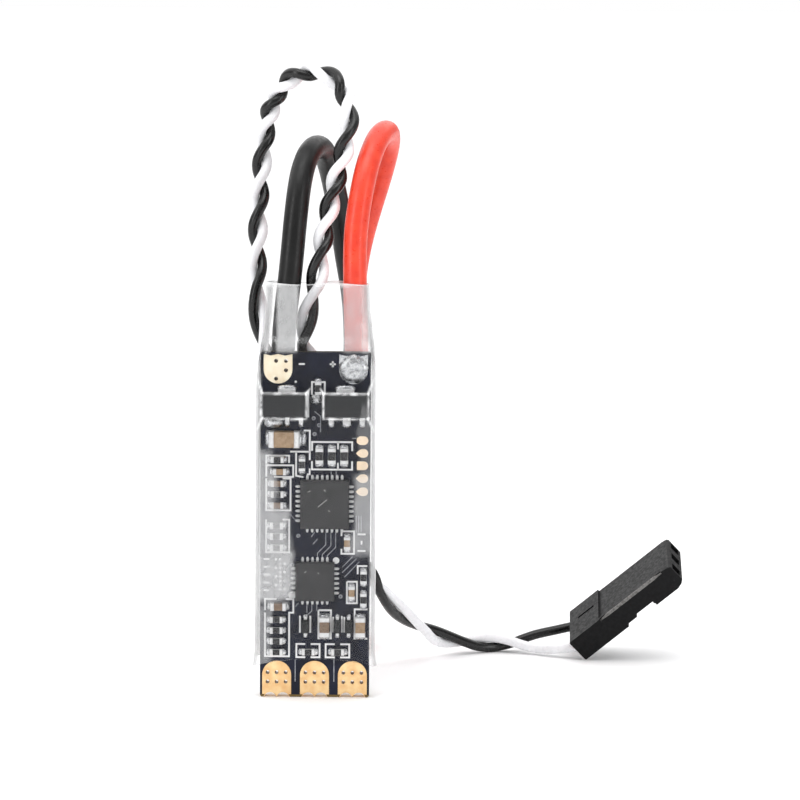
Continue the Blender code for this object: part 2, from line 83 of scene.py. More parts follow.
# Leads, along the same routes as in the CAD
POWER_LEAD_DIAMETER = 2.4
STRAND_RADIUS = 0.52
STRAND_GAP = 0.01  # from the pair's middle line to each strand
NEGATIVE_ROUTE = (
    (-3.4, 1.4, 34.9),
    (-3.25, 1.4, 37.8),
    (-3.0, 1.4, 40.3),
    (-2.7, 1.45, 42.9),
    (-2.35, 2.0, 46.8),
    (-2.0, 3.1, 50.5),
    (-1.45, 5.2, 53.7),
    (-0.6, 8.0, 55.3),
    (0.25, 11.0, 55.1),
    (0.95, 13.5, 53.2),
    (1.55, 15.2, 50.4),
    (2.15, 16.2, 47.2),
    (2.7, 16.7, 43.5),
    (3.3, 16.9, 40.0),
    (3.65, 17.1, 34.0),
    (3.4, 17.2, 27.0),
    (2.7, 17.4, 19.5),
    (1.9, 18.0, 13.0),
    (1.1, 19.6, 7.2),
    (0.2, 22.3, 3.4),
    (-0.8, 26.1, 1.6),
    (-1.9, 31.2, 1.25),
)
POSITIVE_ROUTE = (
    (4.05, 1.4, 34.9),
    (4.0, 1.4, 37.8),
    (3.9, 1.4, 40.3),
    (3.85, 1.45, 42.9),
    (3.9, 2.0, 46.9),
    (4.4, 3.2, 50.9),
    (5.2, 5.3, 54.4),
    (6.15, 8.0, 56.5),
    (6.95, 11.1, 56.9),
    (7.1, 13.9, 55.7),
    (6.6, 16.1, 53.2),
    (5.6, 17.9, 49.7),
    (4.4, 19.1, 45.4),
    (3.6, 19.9, 40.3),
    (3.72, 20.3, 34.0),
    (3.75, 20.6, 27.0),
    (3.75, 20.8, 19.5),
    (3.75, 21.2, 13.0),
    (3.75, 22.6, 7.2),
    (3.75, 25.2, 3.2),
    (3.7, 28.1, 1.6),
    (3.6, 31.0, 1.25),
)
SIGNAL_ROUTE = (
    (-1.0, 1.4, 35.9),
    (-0.8, 1.4, 37.8),
    (-0.6, 1.4, 39.6),
    (-0.05, 1.5, 42.3),
    (0.5, 2.2, 45.6),
    (1.2, 3.2, 49.5),
    (2.05, 4.0, 53.0),
    (2.75, 4.7, 55.9),
    (3.1, 5.5, 58.3),
    (2.85, 6.3, 60.3),
    (2.0, 7.2, 61.9),
    (0.7, 8.0, 62.9),
    (-0.8, 8.7, 63.2),
    (-2.25, 9.3, 62.85),
    (-3.55, 9.8, 61.9),
    (-4.6, 10.1, 60.4),
    (-5.25, 10.3, 58.5),
    (-5.65, 10.3, 56.3),
    (-5.9, 10.1, 54.0),
    (-6.1, 9.7, 51.4),
    (-6.25, 9.1, 48.4),
    (-6.3, 8.3, 44.8),
    (-6.3, 7.5, 41.2),
    (-6.1, 7.0, 38.2),
    (-5.2, 6.7, 33.6),
    (-3.6, 6.8, 28.6),
    (-1.6, 7.1, 23.8),
    (0.6, 7.6, 19.2),
    (3.0, 8.5, 14.4),
    (5.1, 9.8, 11.0),
    (7.0, 11.9, 8.2),
    (9.1, 14.9, 5.5),
    (11.5, 18.2, 3.2),
    (13.9, 20.9, 1.7),
    (16.4, 22.5, 1.12),
    (18.9, 23.0, 1.05),
    (21.0, 22.95, 1.1),
    (23.2, 22.7, 1.25),
    (25.3, 22.4, 1.5),
    (27.4, 22.25, 1.85),
)
# Where along the signal pair, in millimetres, its strands cross: black in front first, then white, in turn
CROSSINGS = (
    (0.3, 5.0, 9.3, 12.5, 15.6, 18.5, 21.5, 25.0, 27.0, 30.2, 32.3, 34.8, 36.7, 38.8, 41.6, 44.9, 48.3, 51.9)
    + (55.9, 62.0, 67.5, 71.5, 75.5, 79.3, 83.0, 87.0, 91.2, 101.7, 108.5, 114.3, 121.0)
)


# ---------------------------------------------------------------- shapes


def ride(made, *nodes):
    """Puts a finished piece on the object's one body. It stands for the CAD nodes named."""
    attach(made, "root")
    if nodes:
        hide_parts(*nodes)
    return made


def new_object(name, data):
    made = bpy.data.objects.new(name, data)
    bpy.context.scene.collection.objects.link(made)
    return made


def mesh_in_metres(name, bm):
    """A mesh from a bmesh in millimetres, which it frees."""
    bmesh.ops.scale(bm, vec=(MM, MM, MM), verts=bm.verts[:])
    mesh = bpy.data.meshes.new(name)
    bm.to_mesh(mesh)
    bm.free()
    return mesh


def mesh_piece(name, bm, finishes, replaced=(), sharp_angle=40.0):
    """A riding piece from a bmesh in millimetres, with one finish or a list of them."""
    bmesh.ops.recalc_face_normals(bm, faces=bm.faces[:])
    mesh = mesh_in_metres(name, bm)
    mesh.shade_smooth()
    mesh.set_sharp_from_angle(angle=math.radians(sharp_angle))
    made = new_object(name, mesh)
    for finish in finishes if isinstance(finishes, (list, tuple)) else [finishes]:
        mesh.materials.append(finish)
    return ride(made, *replaced)


def bevel(made, width, segments=2, angle=30.0):
    """Eases the edges that are sharper than the angle, in degrees."""
    modifier = made.modifiers.new("edges", "BEVEL")
    modifier.width = width * MM
    modifier.segments = segments
    modifier.limit_method = "ANGLE"
    modifier.angle_limit = math.radians(angle)
    modifier.harden_normals = True


def arc(centre_x, centre_z, radius, start, end, steps):
    """Points of an arc, from start to end in degrees."""
    angles = [math.radians(start + (end - start) * i / steps) for i in range(steps + 1)]
    return [(centre_x + radius * math.cos(a), centre_z + radius * math.sin(a)) for a in angles]


def add_loft(bm, rings, ring_closed=False, index=0):
    """Adds a skin over rings of equal counts of points. It is capped, or joined last to first."""
    rows = [[bm.verts.new(point) for point in ring] for ring in rings]
    pairs = list(zip(rows, rows[1:]))
    made = []
    if ring_closed:
        pairs.append((rows[-1], rows[0]))
    else:
        made += [bm.faces.new(rows[0]), bm.faces.new(rows[-1])]
    for lower, upper in pairs:
        for i, corner in enumerate(lower):
            after = (i + 1) % len(lower)
            made.append(bm.faces.new((corner, lower[after], upper[after], upper[i])))
    for face in made:
        face.material_index = index


def add_plate(bm, outline, near_y, far_y, index=0):
    """Adds an (x, z) outline extruded along Y."""
    add_loft(bm, [[(x, y, z) for x, z in outline] for y in (near_y, far_y)], index=index)


def add_block(bm, low, high):
    outline = ((low[0], low[2]), (high[0], low[2]), (high[0], high[2]), (low[0], high[2]))
    add_plate(bm, outline, low[1], high[1])


def add_ink(bm, outline):
    """Adds an (x, z) outline as a thin layer on the board's front."""
    add_plate(bm, outline, FRONT_Y - INK, FRONT_Y + INK)


def round_hole(x, z, radius, steps=16):
    return arc(x, z, radius, 0, 360 - 360 / steps, steps - 1)


def add_turned(bm, x, z, face_y, profile, side=-1, steps=16, ring_closed=False):
    """Adds a round shape to a face from (rise, radius) pairs, side -1 to the front and 1 to the back."""
    rings = []
    for rise, radius in profile:
        rings.append([(px, face_y + side * rise, pz) for px, pz in round_hole(x, z, radius, steps)])
    add_loft(bm, rings, ring_closed)


def add_stroke(bm, points, width, near_y, far_y):
    """Adds a flat line of that width along (x, z) points, with mitred corners."""
    points = [Vector(p) for p in points]
    sides = ([], [])
    for i, point in enumerate(points):
        before = (point - points[i - 1]).normalized() if i else None
        after = (points[i + 1] - point).normalized() if i < len(points) - 1 else None
        ways = [way for way in (before, after) if way is not None]
        along = sum(ways, Vector((0.0, 0.0))).normalized()
        across = Vector((-along.y, along.x))
        reach = width / 2 / max(0.4, abs(along.dot(ways[0])))
        sides[0].append(point + across * reach)
        sides[1].append(point - across * reach)
    add_plate(bm, [tuple(p) for p in sides[0] + sides[1][::-1]], near_y, far_y)


def add_mound(bm, x, z, half_width, half_length, height, foot_y, side=-1, steps=14):
    """Adds a rounded mound of solder that stands on foot_y, side -1 to the front and 1 to the back."""
    levels, top_degrees = 4, 82.0
    rings = []
    for level in range(levels + 1):
        turn = math.radians(top_degrees * level / levels)
        ring = []
        for i in range(steps):
            angle = math.tau * i / steps
            squarish = 1.0 + 0.12 * math.sin(2 * angle) ** 2
            wobble = 1.0 + 0.06 * noise.noise(Vector((x + math.cos(angle), z + math.sin(angle), level)))
            reach = math.cos(turn) * squarish * wobble
            across = half_width * reach * math.cos(angle)
            along = half_length * reach * math.sin(angle)
            ring.append((x + across, foot_y + side * height * math.sin(turn), z + along))
        rings.append(ring)
    add_loft(bm, rings)


def add_heap(bm, middle, halves, levels, steps, shrink, surface, wobble):
    """Adds a heap of rings about an (x, z) middle.

    They shrink by that share from the foot to the top. surface gives a point's y from the ring's size, x
    and z, and wobble gives the outline's reach from the angle.
    """
    rings = []
    for level in range(levels + 1):
        out = 1.0 - shrink * level / levels
        ring = []
        for i in range(steps):
            angle = math.tau * i / steps
            reach = wobble(angle)
            x = middle[0] + out * halves[0] * reach * math.cos(angle)
            z = middle[1] + out * halves[1] * reach * math.sin(angle)
            ring.append((x, surface(out, x, z), z))
        rings.append(ring)
    add_loft(bm, rings)


def add_sweep(bm, path, radii, sides=14, index=0):
    """Adds a round solid along a path, with its own radius at each point."""
    path = [Vector(p) for p in path]
    last = len(path) - 1
    tangents = [(path[min(i + 1, last)] - path[max(i - 1, 0)]).normalized() for i in range(last + 1)]
    normal = tangents[0].orthogonal().normalized()
    angles = [math.tau * i / sides for i in range(sides)]
    rings = []
    for point, tangent, radius in zip(path, tangents, radii):
        normal = (normal - tangent * normal.dot(tangent)).normalized()
        other = tangent.cross(normal)
        rings.append([point + radius * (math.cos(a) * normal + math.sin(a) * other) for a in angles])
    add_loft(bm, rings, index=index)


def smooth_path(points, samples=24):
    """Points along the cubic spline through the route's own points, straight at both ends."""
    points = np.array(points)
    spans = np.linalg.norm(np.diff(points, axis=0), axis=1)
    chords = np.diff(points, axis=0) / spans[:, None]
    last = len(points) - 1
    system = np.zeros((last + 1, last + 1))
    wanted = np.zeros_like(points)
    system[0, :2] = 2.0, 1.0
    system[last, last - 1 :] = 1.0, 2.0
    wanted[0] = 3.0 * chords[0]
    wanted[last] = 3.0 * chords[-1]
    for i in range(1, last):
        before, after = spans[i - 1], spans[i]
        system[i, i - 1 : i + 2] = after, 2.0 * (before + after), before
        wanted[i] = 3.0 * (after * chords[i - 1] + before * chords[i])
    slopes = np.linalg.solve(system, wanted)
    path = []
    for i in range(last):
        for t in np.arange(samples) / samples:
            place = (2 * t**3 - 3 * t**2 + 1) * points[i] + (3 * t**2 - 2 * t**3) * points[i + 1]
            place += ((t**3 - 2 * t**2 + t) * slopes[i] + (t**3 - t**2) * slopes[i + 1]) * spans[i]
            path.append(Vector(place))
    path.append(Vector(points[-1]))
    return path


def path_length(path):
    return sum((b - a).length for a, b in zip(path, path[1:]))


def evenly_spaced(path, spacing):
    """Points along the path, as near as its length allows to the spacing."""
    lengths = [(b - a).length for a, b in zip(path, path[1:])]
    count = max(2, round(sum(lengths) / spacing))
    spaced = [path[0]]
    walked, i = 0.0, 0
    for step in range(1, count):
        wanted = sum(lengths) * step / count
        while walked + lengths[i] < wanted:
            walked += lengths[i]
            i += 1
        spaced.append(path[i].lerp(path[i + 1], (wanted - walked) / lengths[i]))
    spaced.append(path[-1])
    return spaced


def cut(made, cutter_bm, finish):
    """Cuts a bmesh in millimetres out of a piece, and lines the cut with the finish."""
    bmesh.ops.recalc_face_normals(cutter_bm, faces=cutter_bm.faces[:])
    mesh = mesh_in_metres("cutter", cutter_bm)
    mesh.materials.append(finish)
    cutter = new_object("cutter", mesh)
    modifier = made.modifiers.new("cut", "BOOLEAN")
    modifier.operation = "DIFFERENCE"
    modifier.material_mode = "TRANSFER"
    modifier.object = cutter
    bpy.context.view_layer.update()
    whole = bpy.data.meshes.new_from_object(made.evaluated_get(bpy.context.evaluated_depsgraph_get()))
    made.modifiers.remove(modifier)
    whole.shade_smooth()
    whole.set_sharp_from_angle(angle=math.radians(30.0))
    made.data = whole
    bpy.data.objects.remove(cutter)


# ---------------------------------------------------------------- materials


def new_material(name, colour, roughness, metallic=0.0):
    """A Principled material, its node tree and its shader."""
    made = bpy.data.materials.new(name)
    made.use_nodes = True
    tree = made.node_tree
    shader = tree.nodes["Principled BSDF"]
    shader.inputs["Base Color"].default_value = (*colour, 1.0)
    shader.inputs["Roughness"].default_value = roughness
    shader.inputs["Metallic"].default_value = metallic
    return made, tree, shader


def add_node(tree, kind, links=(), **values):
    """A node with its values set and its inputs linked, given as (input, output) pairs."""
    node = tree.nodes.new(kind)
    for key, value in values.items():
        if key in node.inputs:
            node.inputs[key].default_value = value
        else:
            setattr(node, key, value)
    for target, source in links:
        tree.links.new(source, node.inputs[target])
    return node


def place_mm(tree, stretch=(1.0, 1.0, 1.0)):
    """The surface's place in millimetres, stretched along each axis."""
    place = add_node(tree, "ShaderNodeTexCoord")
    scaled = add_node(tree, "ShaderNodeVectorMath", [(0, place.outputs["Object"])], operation="MULTIPLY")
    scaled.inputs[1].default_value = [s / MM for s in stretch]
    return scaled.outputs[0]


def noise_value(tree, scale, detail=3.0, stretch=(1.0, 1.0, 1.0)):
    """Cloudy noise about 0.5 over the surface, with its scale in turns for each millimetre."""
    place = [("Vector", place_mm(tree, stretch))]
    return add_node(tree, "ShaderNodeTexNoise", place, Scale=scale, Detail=detail).outputs["Fac"]


def ramp(tree, value, stops):
    """Colours along a value. Each stop is (position, colour or grey)."""
    node = add_node(tree, "ShaderNodeValToRGB", [("Fac", value)])
    elements = node.color_ramp.elements
    while len(elements) < len(stops):
        elements.new(0.5)
    for element, (position, colour) in zip(elements, stops):
        element.position = position
        grey = not hasattr(colour, "__len__")
        element.color = (colour, colour, colour, 1.0) if grey else (*colour, 1.0)
    return node.outputs["Color"]


def span(tree, value, low, high, to_low=0.0, to_high=1.0, smooth=True):
    """The value's range low to high, as to_low to to_high, with level ends."""
    node = add_node(tree, "ShaderNodeMapRange", [("Value", value)])
    node.interpolation_type = "SMOOTHSTEP" if smooth else "LINEAR"
    for name, number in (("From Min", low), ("From Max", high), ("To Min", to_low), ("To Max", to_high)):
        node.inputs[name].default_value = number
    return node.outputs["Result"]


def calculate(tree, operation, first, second):
    """A Math node's result, where each input is a number or a socket."""
    node = add_node(tree, "ShaderNodeMath", operation=operation)
    for socket, value in zip(node.inputs, (first, second)):
        if isinstance(value, (int, float)):
            socket.default_value = value
        else:
            tree.links.new(value, socket)
    return node.outputs[0]


def mix_colours(tree, factor, first, second):
    """A mix, where the factor and each colour is a constant or a socket."""
    node = add_node(tree, "ShaderNodeMix", data_type="RGBA")
    for name, value in (("Factor", factor), ("A", first), ("B", second)):
        socket = next(s for s in node.inputs if s.name == name and s.enabled)
        if hasattr(value, "is_linked"):
            tree.links.new(value, socket)
        else:
            socket.default_value = (*value, 1.0) if hasattr(value, "__len__") else value
    return next(s for s in node.outputs if s.enabled)


def bumped(tree, shader, value, depth_mm, strength):
    """Adds a surface relief of that depth to the shader."""
    node = add_node(tree, "ShaderNodeBump", [("Height", value)], Strength=strength, Distance=depth_mm * MM)
    tree.links.new(node.outputs["Normal"], shader.inputs["Normal"])


def speckled(name, dark, light, roughness, scale, metallic=0.0, bump_mm=0.01, rough_spread=0.12, shine=0.5):
    """A finish whose colour and gloss wander over the surface, with a fine grain in it."""
    made, tree, shader = new_material(name, light, roughness, metallic)
    shader.inputs["Specular IOR Level"].default_value = shine
    cloud = noise_value(tree, scale, 4.0)
    tree.links.new(ramp(tree, cloud, ((0.32, dark), (0.68, light))), shader.inputs["Base Color"])
    gloss = span(tree, cloud, 0.3, 0.7, roughness - rough_spread, roughness + rough_spread)
    tree.links.new(gloss, shader.inputs["Roughness"])
    bumped(tree, shader, noise_value(tree, scale * 6, 2.0), bump_mm, 0.6)
    return made


def board_finish():
    """Dark blue mask over copper, with bare laminate on the cut edges and along the foot."""
    made, tree, shader = new_material("solder_mask", (0.01, 0.012, 0.028), 0.24)
    shader.inputs["Specular IOR Level"].default_value = 0.2
    z = add_node(tree, "ShaderNodeSeparateXYZ", [("Vector", place_mm(tree))]).outputs[2]
    copper = span(tree, noise_value(tree, 0.35, 2.0), 0.46, 0.54)
    mask = mix_colours(tree, copper, (0.006, 0.0075, 0.018), (0.01, 0.0125, 0.029))
    dust = span(tree, noise_value(tree, 3.0, 4.0), 0.45, 0.8, 0.0, 0.5)
    mask = mix_colours(tree, dust, mask, (0.016, 0.018, 0.03))
    place = [("Vector", place_mm(tree))]
    layers = add_node(tree, "ShaderNodeTexWave", place, Scale=2.6, Distortion=1.5, Detail=3.0)
    layers.bands_direction = "Y"
    laminate = ramp(tree, layers.outputs["Fac"], ((0.2, (0.16, 0.105, 0.035)), (0.8, (0.34, 0.25, 0.1))))
    normal = add_node(tree, "ShaderNodeNewGeometry").outputs["Normal"]
    facing = add_node(tree, "ShaderNodeSeparateXYZ", [("Vector", normal)]).outputs[1]
    laminate = mix_colours(tree, span(tree, z, 0.3, 0.9), laminate, (0.03, 0.027, 0.018))
    edge = span(tree, calculate(tree, "ABSOLUTE", facing, 0.0), 0.3, 0.7, 1.0, 0.0)
    foot = span(tree, z, 0.2, 0.3, 1.0, 0.0)
    bare = calculate(tree, "MAXIMUM", edge, foot)
    tree.links.new(mix_colours(tree, bare, mask, laminate), shader.inputs["Base Color"])
    tree.links.new(span(tree, bare, 0.0, 1.0, 0.24, 0.6), shader.inputs["Roughness"])
    checks = add_node(tree, "ShaderNodeTexChecker", place, Scale=2.2).outputs["Fac"]
    weave = calculate(tree, "MULTIPLY", checks, 0.25)
    bumped(tree, shader, calculate(tree, "ADD", noise_value(tree, 5.0, 3.0), weave), 0.012, 0.5)
    return made


def film_finish():
    """Clear shrink film. Its mesh says how milky each point is, which holds painted reflections and glints as
    well as real haze, and it mirrors more towards its rims.
    """
    made, tree, shader = new_material("clear_film", (0.95, 0.955, 0.96), 0.16)
    haze_and_sheen = add_node(tree, "ShaderNodeAttribute", attribute_name="haze_and_sheen").outputs["Fac"]
    cloud = noise_value(tree, 1.3, 4.0, (1.0, 1.0, 0.5))
    haze_and_sheen = calculate(tree, "MULTIPLY", haze_and_sheen, span(tree, cloud, 0.25, 0.75, 0.88, 1.12))
    facing = add_node(tree, "ShaderNodeLayerWeight", Blend=0.5).outputs["Facing"]
    rim = calculate(tree, "POWER", facing, 4.0)
    cover = calculate(tree, "ADD", calculate(tree, "MULTIPLY", rim, 0.7), 0.008)
    cover = calculate(tree, "MINIMUM", calculate(tree, "ADD", cover, haze_and_sheen), 0.92)
    tree.links.new(span(tree, haze_and_sheen, 0.02, 0.15, 0.9, 0.0), shader.inputs["Metallic"])
    bumped(tree, shader, noise_value(tree, 0.5, 2.0, (1.0, 1.0, 0.5)), 0.08, 0.2)
    tint = ramp(tree, facing, ((0.03, 0.995), (0.12, 0.97), (0.35, 0.72)))
    clear = add_node(tree, "ShaderNodeBsdfTransparent", [("Color", tint)])
    mixed = add_node(tree, "ShaderNodeMixShader", [("Fac", cover)])
    tree.links.new(clear.outputs[0], mixed.inputs[1])
    tree.links.new(shader.outputs[0], mixed.inputs[2])
    tree.links.new(mixed.outputs[0], tree.nodes["Material Output"].inputs["Surface"])
    return made


def silicone_finish(name, dark, light, roughness, shine=0.5):
    """Soft rubber with a satin skin, faint drawing lines and a little dust."""
    made, tree, shader = new_material(name, light, roughness)
    shader.inputs["Specular IOR Level"].default_value = shine
    cloud = noise_value(tree, 0.8, 4.0)
    tree.links.new(ramp(tree, cloud, ((0.3, dark), (0.7, light))), shader.inputs["Base Color"])
    gloss = span(tree, noise_value(tree, 3.0, 4.0), 0.3, 0.7, roughness - 0.07, roughness + 0.09)
    tree.links.new(gloss, shader.inputs["Roughness"])
    grain = calculate(tree, "ADD", noise_value(tree, 9.0, 3.0), noise_value(tree, 1.2, 2.0))
    bumped(tree, shader, grain, 0.012, 0.35)
    return made


def gold_finish(name, dark, light):
    """Gold flash over nickel, a little uneven in colour and gloss."""
    made, tree, shader = new_material(name, light, 0.32, 1.0)
    cloud = noise_value(tree, 1.1, 4.0)
    colours = ramp(tree, cloud, ((0.3, dark), (0.7, light)))
    tree.links.new(colours, shader.inputs["Base Color"])
    tree.links.new(span(tree, cloud, 0.3, 0.7, 0.42, 0.28), shader.inputs["Roughness"])
    bumped(tree, shader, noise_value(tree, 14.0, 3.0), 0.006, 0.6)
    return made


def floor_finish():
    """Pale, matt, slightly uneven paper."""
    made, tree, shader = new_material("studio_paper", (0.93, 0.93, 0.935), 0.75)
    tones = ((0.3, (0.925, 0.925, 0.93)), (0.7, (0.935, 0.935, 0.94)))
    tree.links.new(ramp(tree, noise_value(tree, 0.02, 3.0), tones), shader.inputs["Base Color"])
    return made


def make_finishes():
    return {
        "board": board_finish(),
        "trace": speckled("masked_copper", (0.2, 0.21, 0.24), (0.38, 0.39, 0.42), 0.3, 2.0),
        "ink": speckled("legend_ink", (0.9, 0.9, 0.91), (0.97, 0.97, 0.97), 0.55, 6.0),
        "gold": gold_finish("gold_plate", (0.82, 0.5, 0.23), (0.92, 0.67, 0.36)),
        "pale_gold": gold_finish("pale_gold_plate", (0.84, 0.66, 0.46), (0.93, 0.75, 0.55)),
        "bright_gold": gold_finish("bright_gold_plate", (0.98, 0.84, 0.62), (1.0, 0.93, 0.75)),
        # Copper lining of the via holes, darkened to paint the shade inside them
        "shaded_barrel": speckled("via_barrel_painted_shade", (0.1, 0.06, 0.03), (0.3, 0.2, 0.11), 0.4, 4.0, 1.0),
        "solder": speckled("tin_solder", (0.45, 0.46, 0.48), (0.84, 0.85, 0.86), 0.24, 3.0, 1.0, 0.03),
        "tin": speckled("tinned_terminal", (0.8, 0.8, 0.81), (0.97, 0.97, 0.97), 0.4, 4.0, 0.35, 0.01),
        "chip": speckled("moulding_compound", (0.03, 0.03, 0.032), (0.056, 0.056, 0.058), 0.5, 1.2),
        "scuff": speckled("scuffed_compound", (0.3, 0.3, 0.29), (0.6, 0.6, 0.58), 0.5, 6.0),
        "regulator": speckled(
            "regulator_compound", (0.02, 0.021, 0.023), (0.036, 0.037, 0.04), 0.44, 2.0, shine=0.3
        ),
        "glaze": speckled("resistor_glaze", (0.01, 0.01, 0.012), (0.028, 0.028, 0.032), 0.25, 4.0),
        "alumina": speckled("resistor_ceramic", (0.6, 0.6, 0.58), (0.78, 0.78, 0.76), 0.5, 6.0),
        "tan": speckled("tan_ceramic", (0.36, 0.23, 0.13), (0.5, 0.35, 0.22), 0.4, 2.5),
        "brown": speckled("brown_ceramic", (0.2, 0.13, 0.085), (0.33, 0.23, 0.16), 0.4, 2.5),
        "film": film_finish(),
        "black": silicone_finish("black_silicone", (0.003, 0.003, 0.003), (0.007, 0.007, 0.007), 0.36, 0.3),
        "red": silicone_finish("red_silicone", (0.7, 0.036, 0.013), (0.82, 0.06, 0.023), 0.34),
        "white_pvc": silicone_finish("white_insulation", (0.8, 0.8, 0.82), (0.88, 0.88, 0.9), 0.3),
        "black_pvc": silicone_finish(
            "black_insulation", (0.003, 0.003, 0.003), (0.008, 0.008, 0.008), 0.22, 0.4
        ),
        "plug": speckled(
            "plug_nylon", (0.004, 0.004, 0.0043), (0.009, 0.009, 0.0096), 0.45, 3.0, bump_mm=0.004, shine=0.1
        ),
        # Lighter nylon for the plug's rail: a painted highlight along its edge
        "painted_highlight_nylon": speckled("painted_highlight_nylon", (0.07, 0.067, 0.063), (0.15, 0.145, 0.14), 0.3, 3.0),
        "contact": speckled("contact_strip", (0.55, 0.42, 0.2), (0.8, 0.66, 0.38), 0.28, 3.0, 1.0),
        "copper": speckled("tinned_copper", (0.6, 0.5, 0.42), (0.85, 0.8, 0.75), 0.26, 5.0, 1.0),
        "floor": floor_finish(),
    }


# ---------------------------------------------------------------- board

MOTOR_PADS = ("motor_pad_left", "motor_pad_middle", "motor_pad_right")
VIA_RADIUS = 0.19
MOTOR_VIA_XS = (-0.92, 0.0, 0.92)
MOTOR_VIA_ZS = (1.58, 2.55)
HALF_HOLE_OFFSET = 0.65
HALF_HOLE_RADIUS = 0.72
HALF_HOLE_Z = -0.17
HALF_HOLE_FOOT = 0.03
BATTERY_VIAS = ((-0.2, 34.4), (0.8, 34.4), (0.8, 33.45), (-0.2, 32.6))
STITCH_VIAS = ((-0.2, 28.6), (0.35, 27.9), (-0.1, 27.0), (0.1, 22.4), (-2.3, 13.6), (2.6, 10.4), (-1.7, 16.6))
PROGRAMMING_PAD_X = 4.76
PROGRAMMING_PADS = ((26.37, "round"), (25.07, "point"), (23.81, "square"), (22.5, "point"), (21.16, "point"))


def half_hole_arcs(x, radius, foot):
    """The two half holes under a motor pad, as one line from left to right that starts and ends at foot."""
    start = math.degrees(math.asin((foot - HALF_HOLE_Z) / radius))
    meet = math.degrees(math.acos(min(HALF_HOLE_OFFSET / radius, 1.0)))
    meet = max(meet, math.degrees(math.asin((HALF_HOLE_FOOT - HALF_HOLE_Z) / radius)))
    left = arc(x - HALF_HOLE_OFFSET, HALF_HOLE_Z, radius, 180 - start, meet, 16)
    right = arc(x + HALF_HOLE_OFFSET, HALF_HOLE_Z, radius, 180 - meet, start, 16)
    return left + (right if right[0][0] - left[-1][0] > 0.005 else right[1:])


def motor_vias():
    """Places of the via holes of all three motor pads."""
    middles = [middle_and_half(node)[0] for node in MOTOR_PADS]
    return [(middle + x, z) for middle in middles for z in MOTOR_VIA_ZS for x in MOTOR_VIA_XS]


def battery_vias():
    """Places of the via holes of the bare battery pad."""
    middle = middle_and_half("battery_pad_negative")[0]
    return [(middle + x, z) for x, z in BATTERY_VIAS]


def drill(made, places, finishes):
    """Cuts via holes through a piece, with plated barrels darkened to paint the shade inside the holes."""
    drills = bmesh.new()
    for x, z in places:
        add_plate(drills, round_hole(x, z, VIA_RADIUS), FRONT_Y - 1, BACK_Y + 1)
    cut(made, drills, finishes["shaded_barrel"])


def make_board(finishes):
    """The board with its half holes, its plated vias and its fine stitching vias."""
    corner = 0.25
    outline = arc(-BOARD_HALF + corner, corner, corner, 180, 270, 3)
    for node in MOTOR_PADS:
        outline += half_hole_arcs(middle_and_half(node)[0], HALF_HOLE_RADIUS, 0.0)
    outline += arc(BOARD_HALF - corner, corner, corner, 270, 360, 3)
    outline += arc(BOARD_HALF - corner, BOARD_TOP - corner, corner, 0, 90, 3)
    outline += arc(-BOARD_HALF + corner, BOARD_TOP - corner, corner, 90, 180, 3)
    bm = bmesh.new()
    add_plate(bm, outline, FRONT_Y, BACK_Y)
    board = mesh_piece("board_drilled", bm, finishes["board"], ["circuit_board"])
    drill(board, motor_vias() + battery_vias(), finishes)
    bm = bmesh.new()
    for x, z in STITCH_VIAS:
        add_turned(bm, x, z, FRONT_Y, ((0.0, 0.22), (0.035, 0.18), (0.03, 0.09), (-0.01, 0.07)))
    mesh_piece("tented_vias", bm, finishes["trace"])


def pad_outline(x, half, foot, top):
    """A motor pad with a round top, scalloped at its foot by the half holes."""
    outline = [(x - half, foot), *half_hole_arcs(x, HALF_HOLE_RADIUS - 0.01, foot), (x + half, foot)]
    return outline + arc(x, top - half, half, 0, 180, 24)


def make_motor_pads(finishes):
    """Gold pads on both faces, joined through their half holes, with via holes."""
    for node in MOTOR_PADS:
        top = box_mm(node)[1].z
        middle, half = middle_and_half(node)
        bm = bmesh.new()
        for near, far in ((FRONT_Y - PLATING, FRONT_Y), (BACK_Y, BACK_Y + PLATING)):
            add_plate(bm, pad_outline(middle, half, 0.28, top), near, far)
        pad = mesh_piece(f"{node}_plate", bm, finishes["gold"], [node])
        drill(pad, [(x, z) for x, z in motor_vias() if abs(x - middle) < half], finishes)
        bevel(pad, 0.02)
        bm = bmesh.new()
        lining = half_hole_arcs(middle, HALF_HOLE_RADIUS - 0.008, HALF_HOLE_FOOT)
        lining += half_hole_arcs(middle, HALF_HOLE_RADIUS - 0.06, HALF_HOLE_FOOT)[::-1]
        add_plate(bm, lining, FRONT_Y - PLATING, BACK_Y + PLATING)
        mesh_piece(f"{node}_linings", bm, finishes["gold"])


def make_battery_pads(finishes):
    """The bare negative pad with its vias, and the positive pad, which is tinned."""
    notch = 0.16
    for node, look in (("battery_pad_negative", "bright_gold"), ("battery_pad_positive", "solder")):
        low, high = box_mm(node)
        x, half = middle_and_half(node)
        outline = arc(x, low.z + half, half, 180, 360, 24)
        for i, dip in enumerate((0.0, notch, 0.0, notch, 0.0)):
            outline.append((x + half - i * half / 2, high.z - dip))
        bm = bmesh.new()
        add_plate(bm, outline, FRONT_Y - PLATING, FRONT_Y)
        pad = mesh_piece(f"{node}_plate", bm, finishes[look], [node])
        if node == "battery_pad_negative":
            drill(pad, battery_vias(), finishes)
        bevel(pad, 0.02)


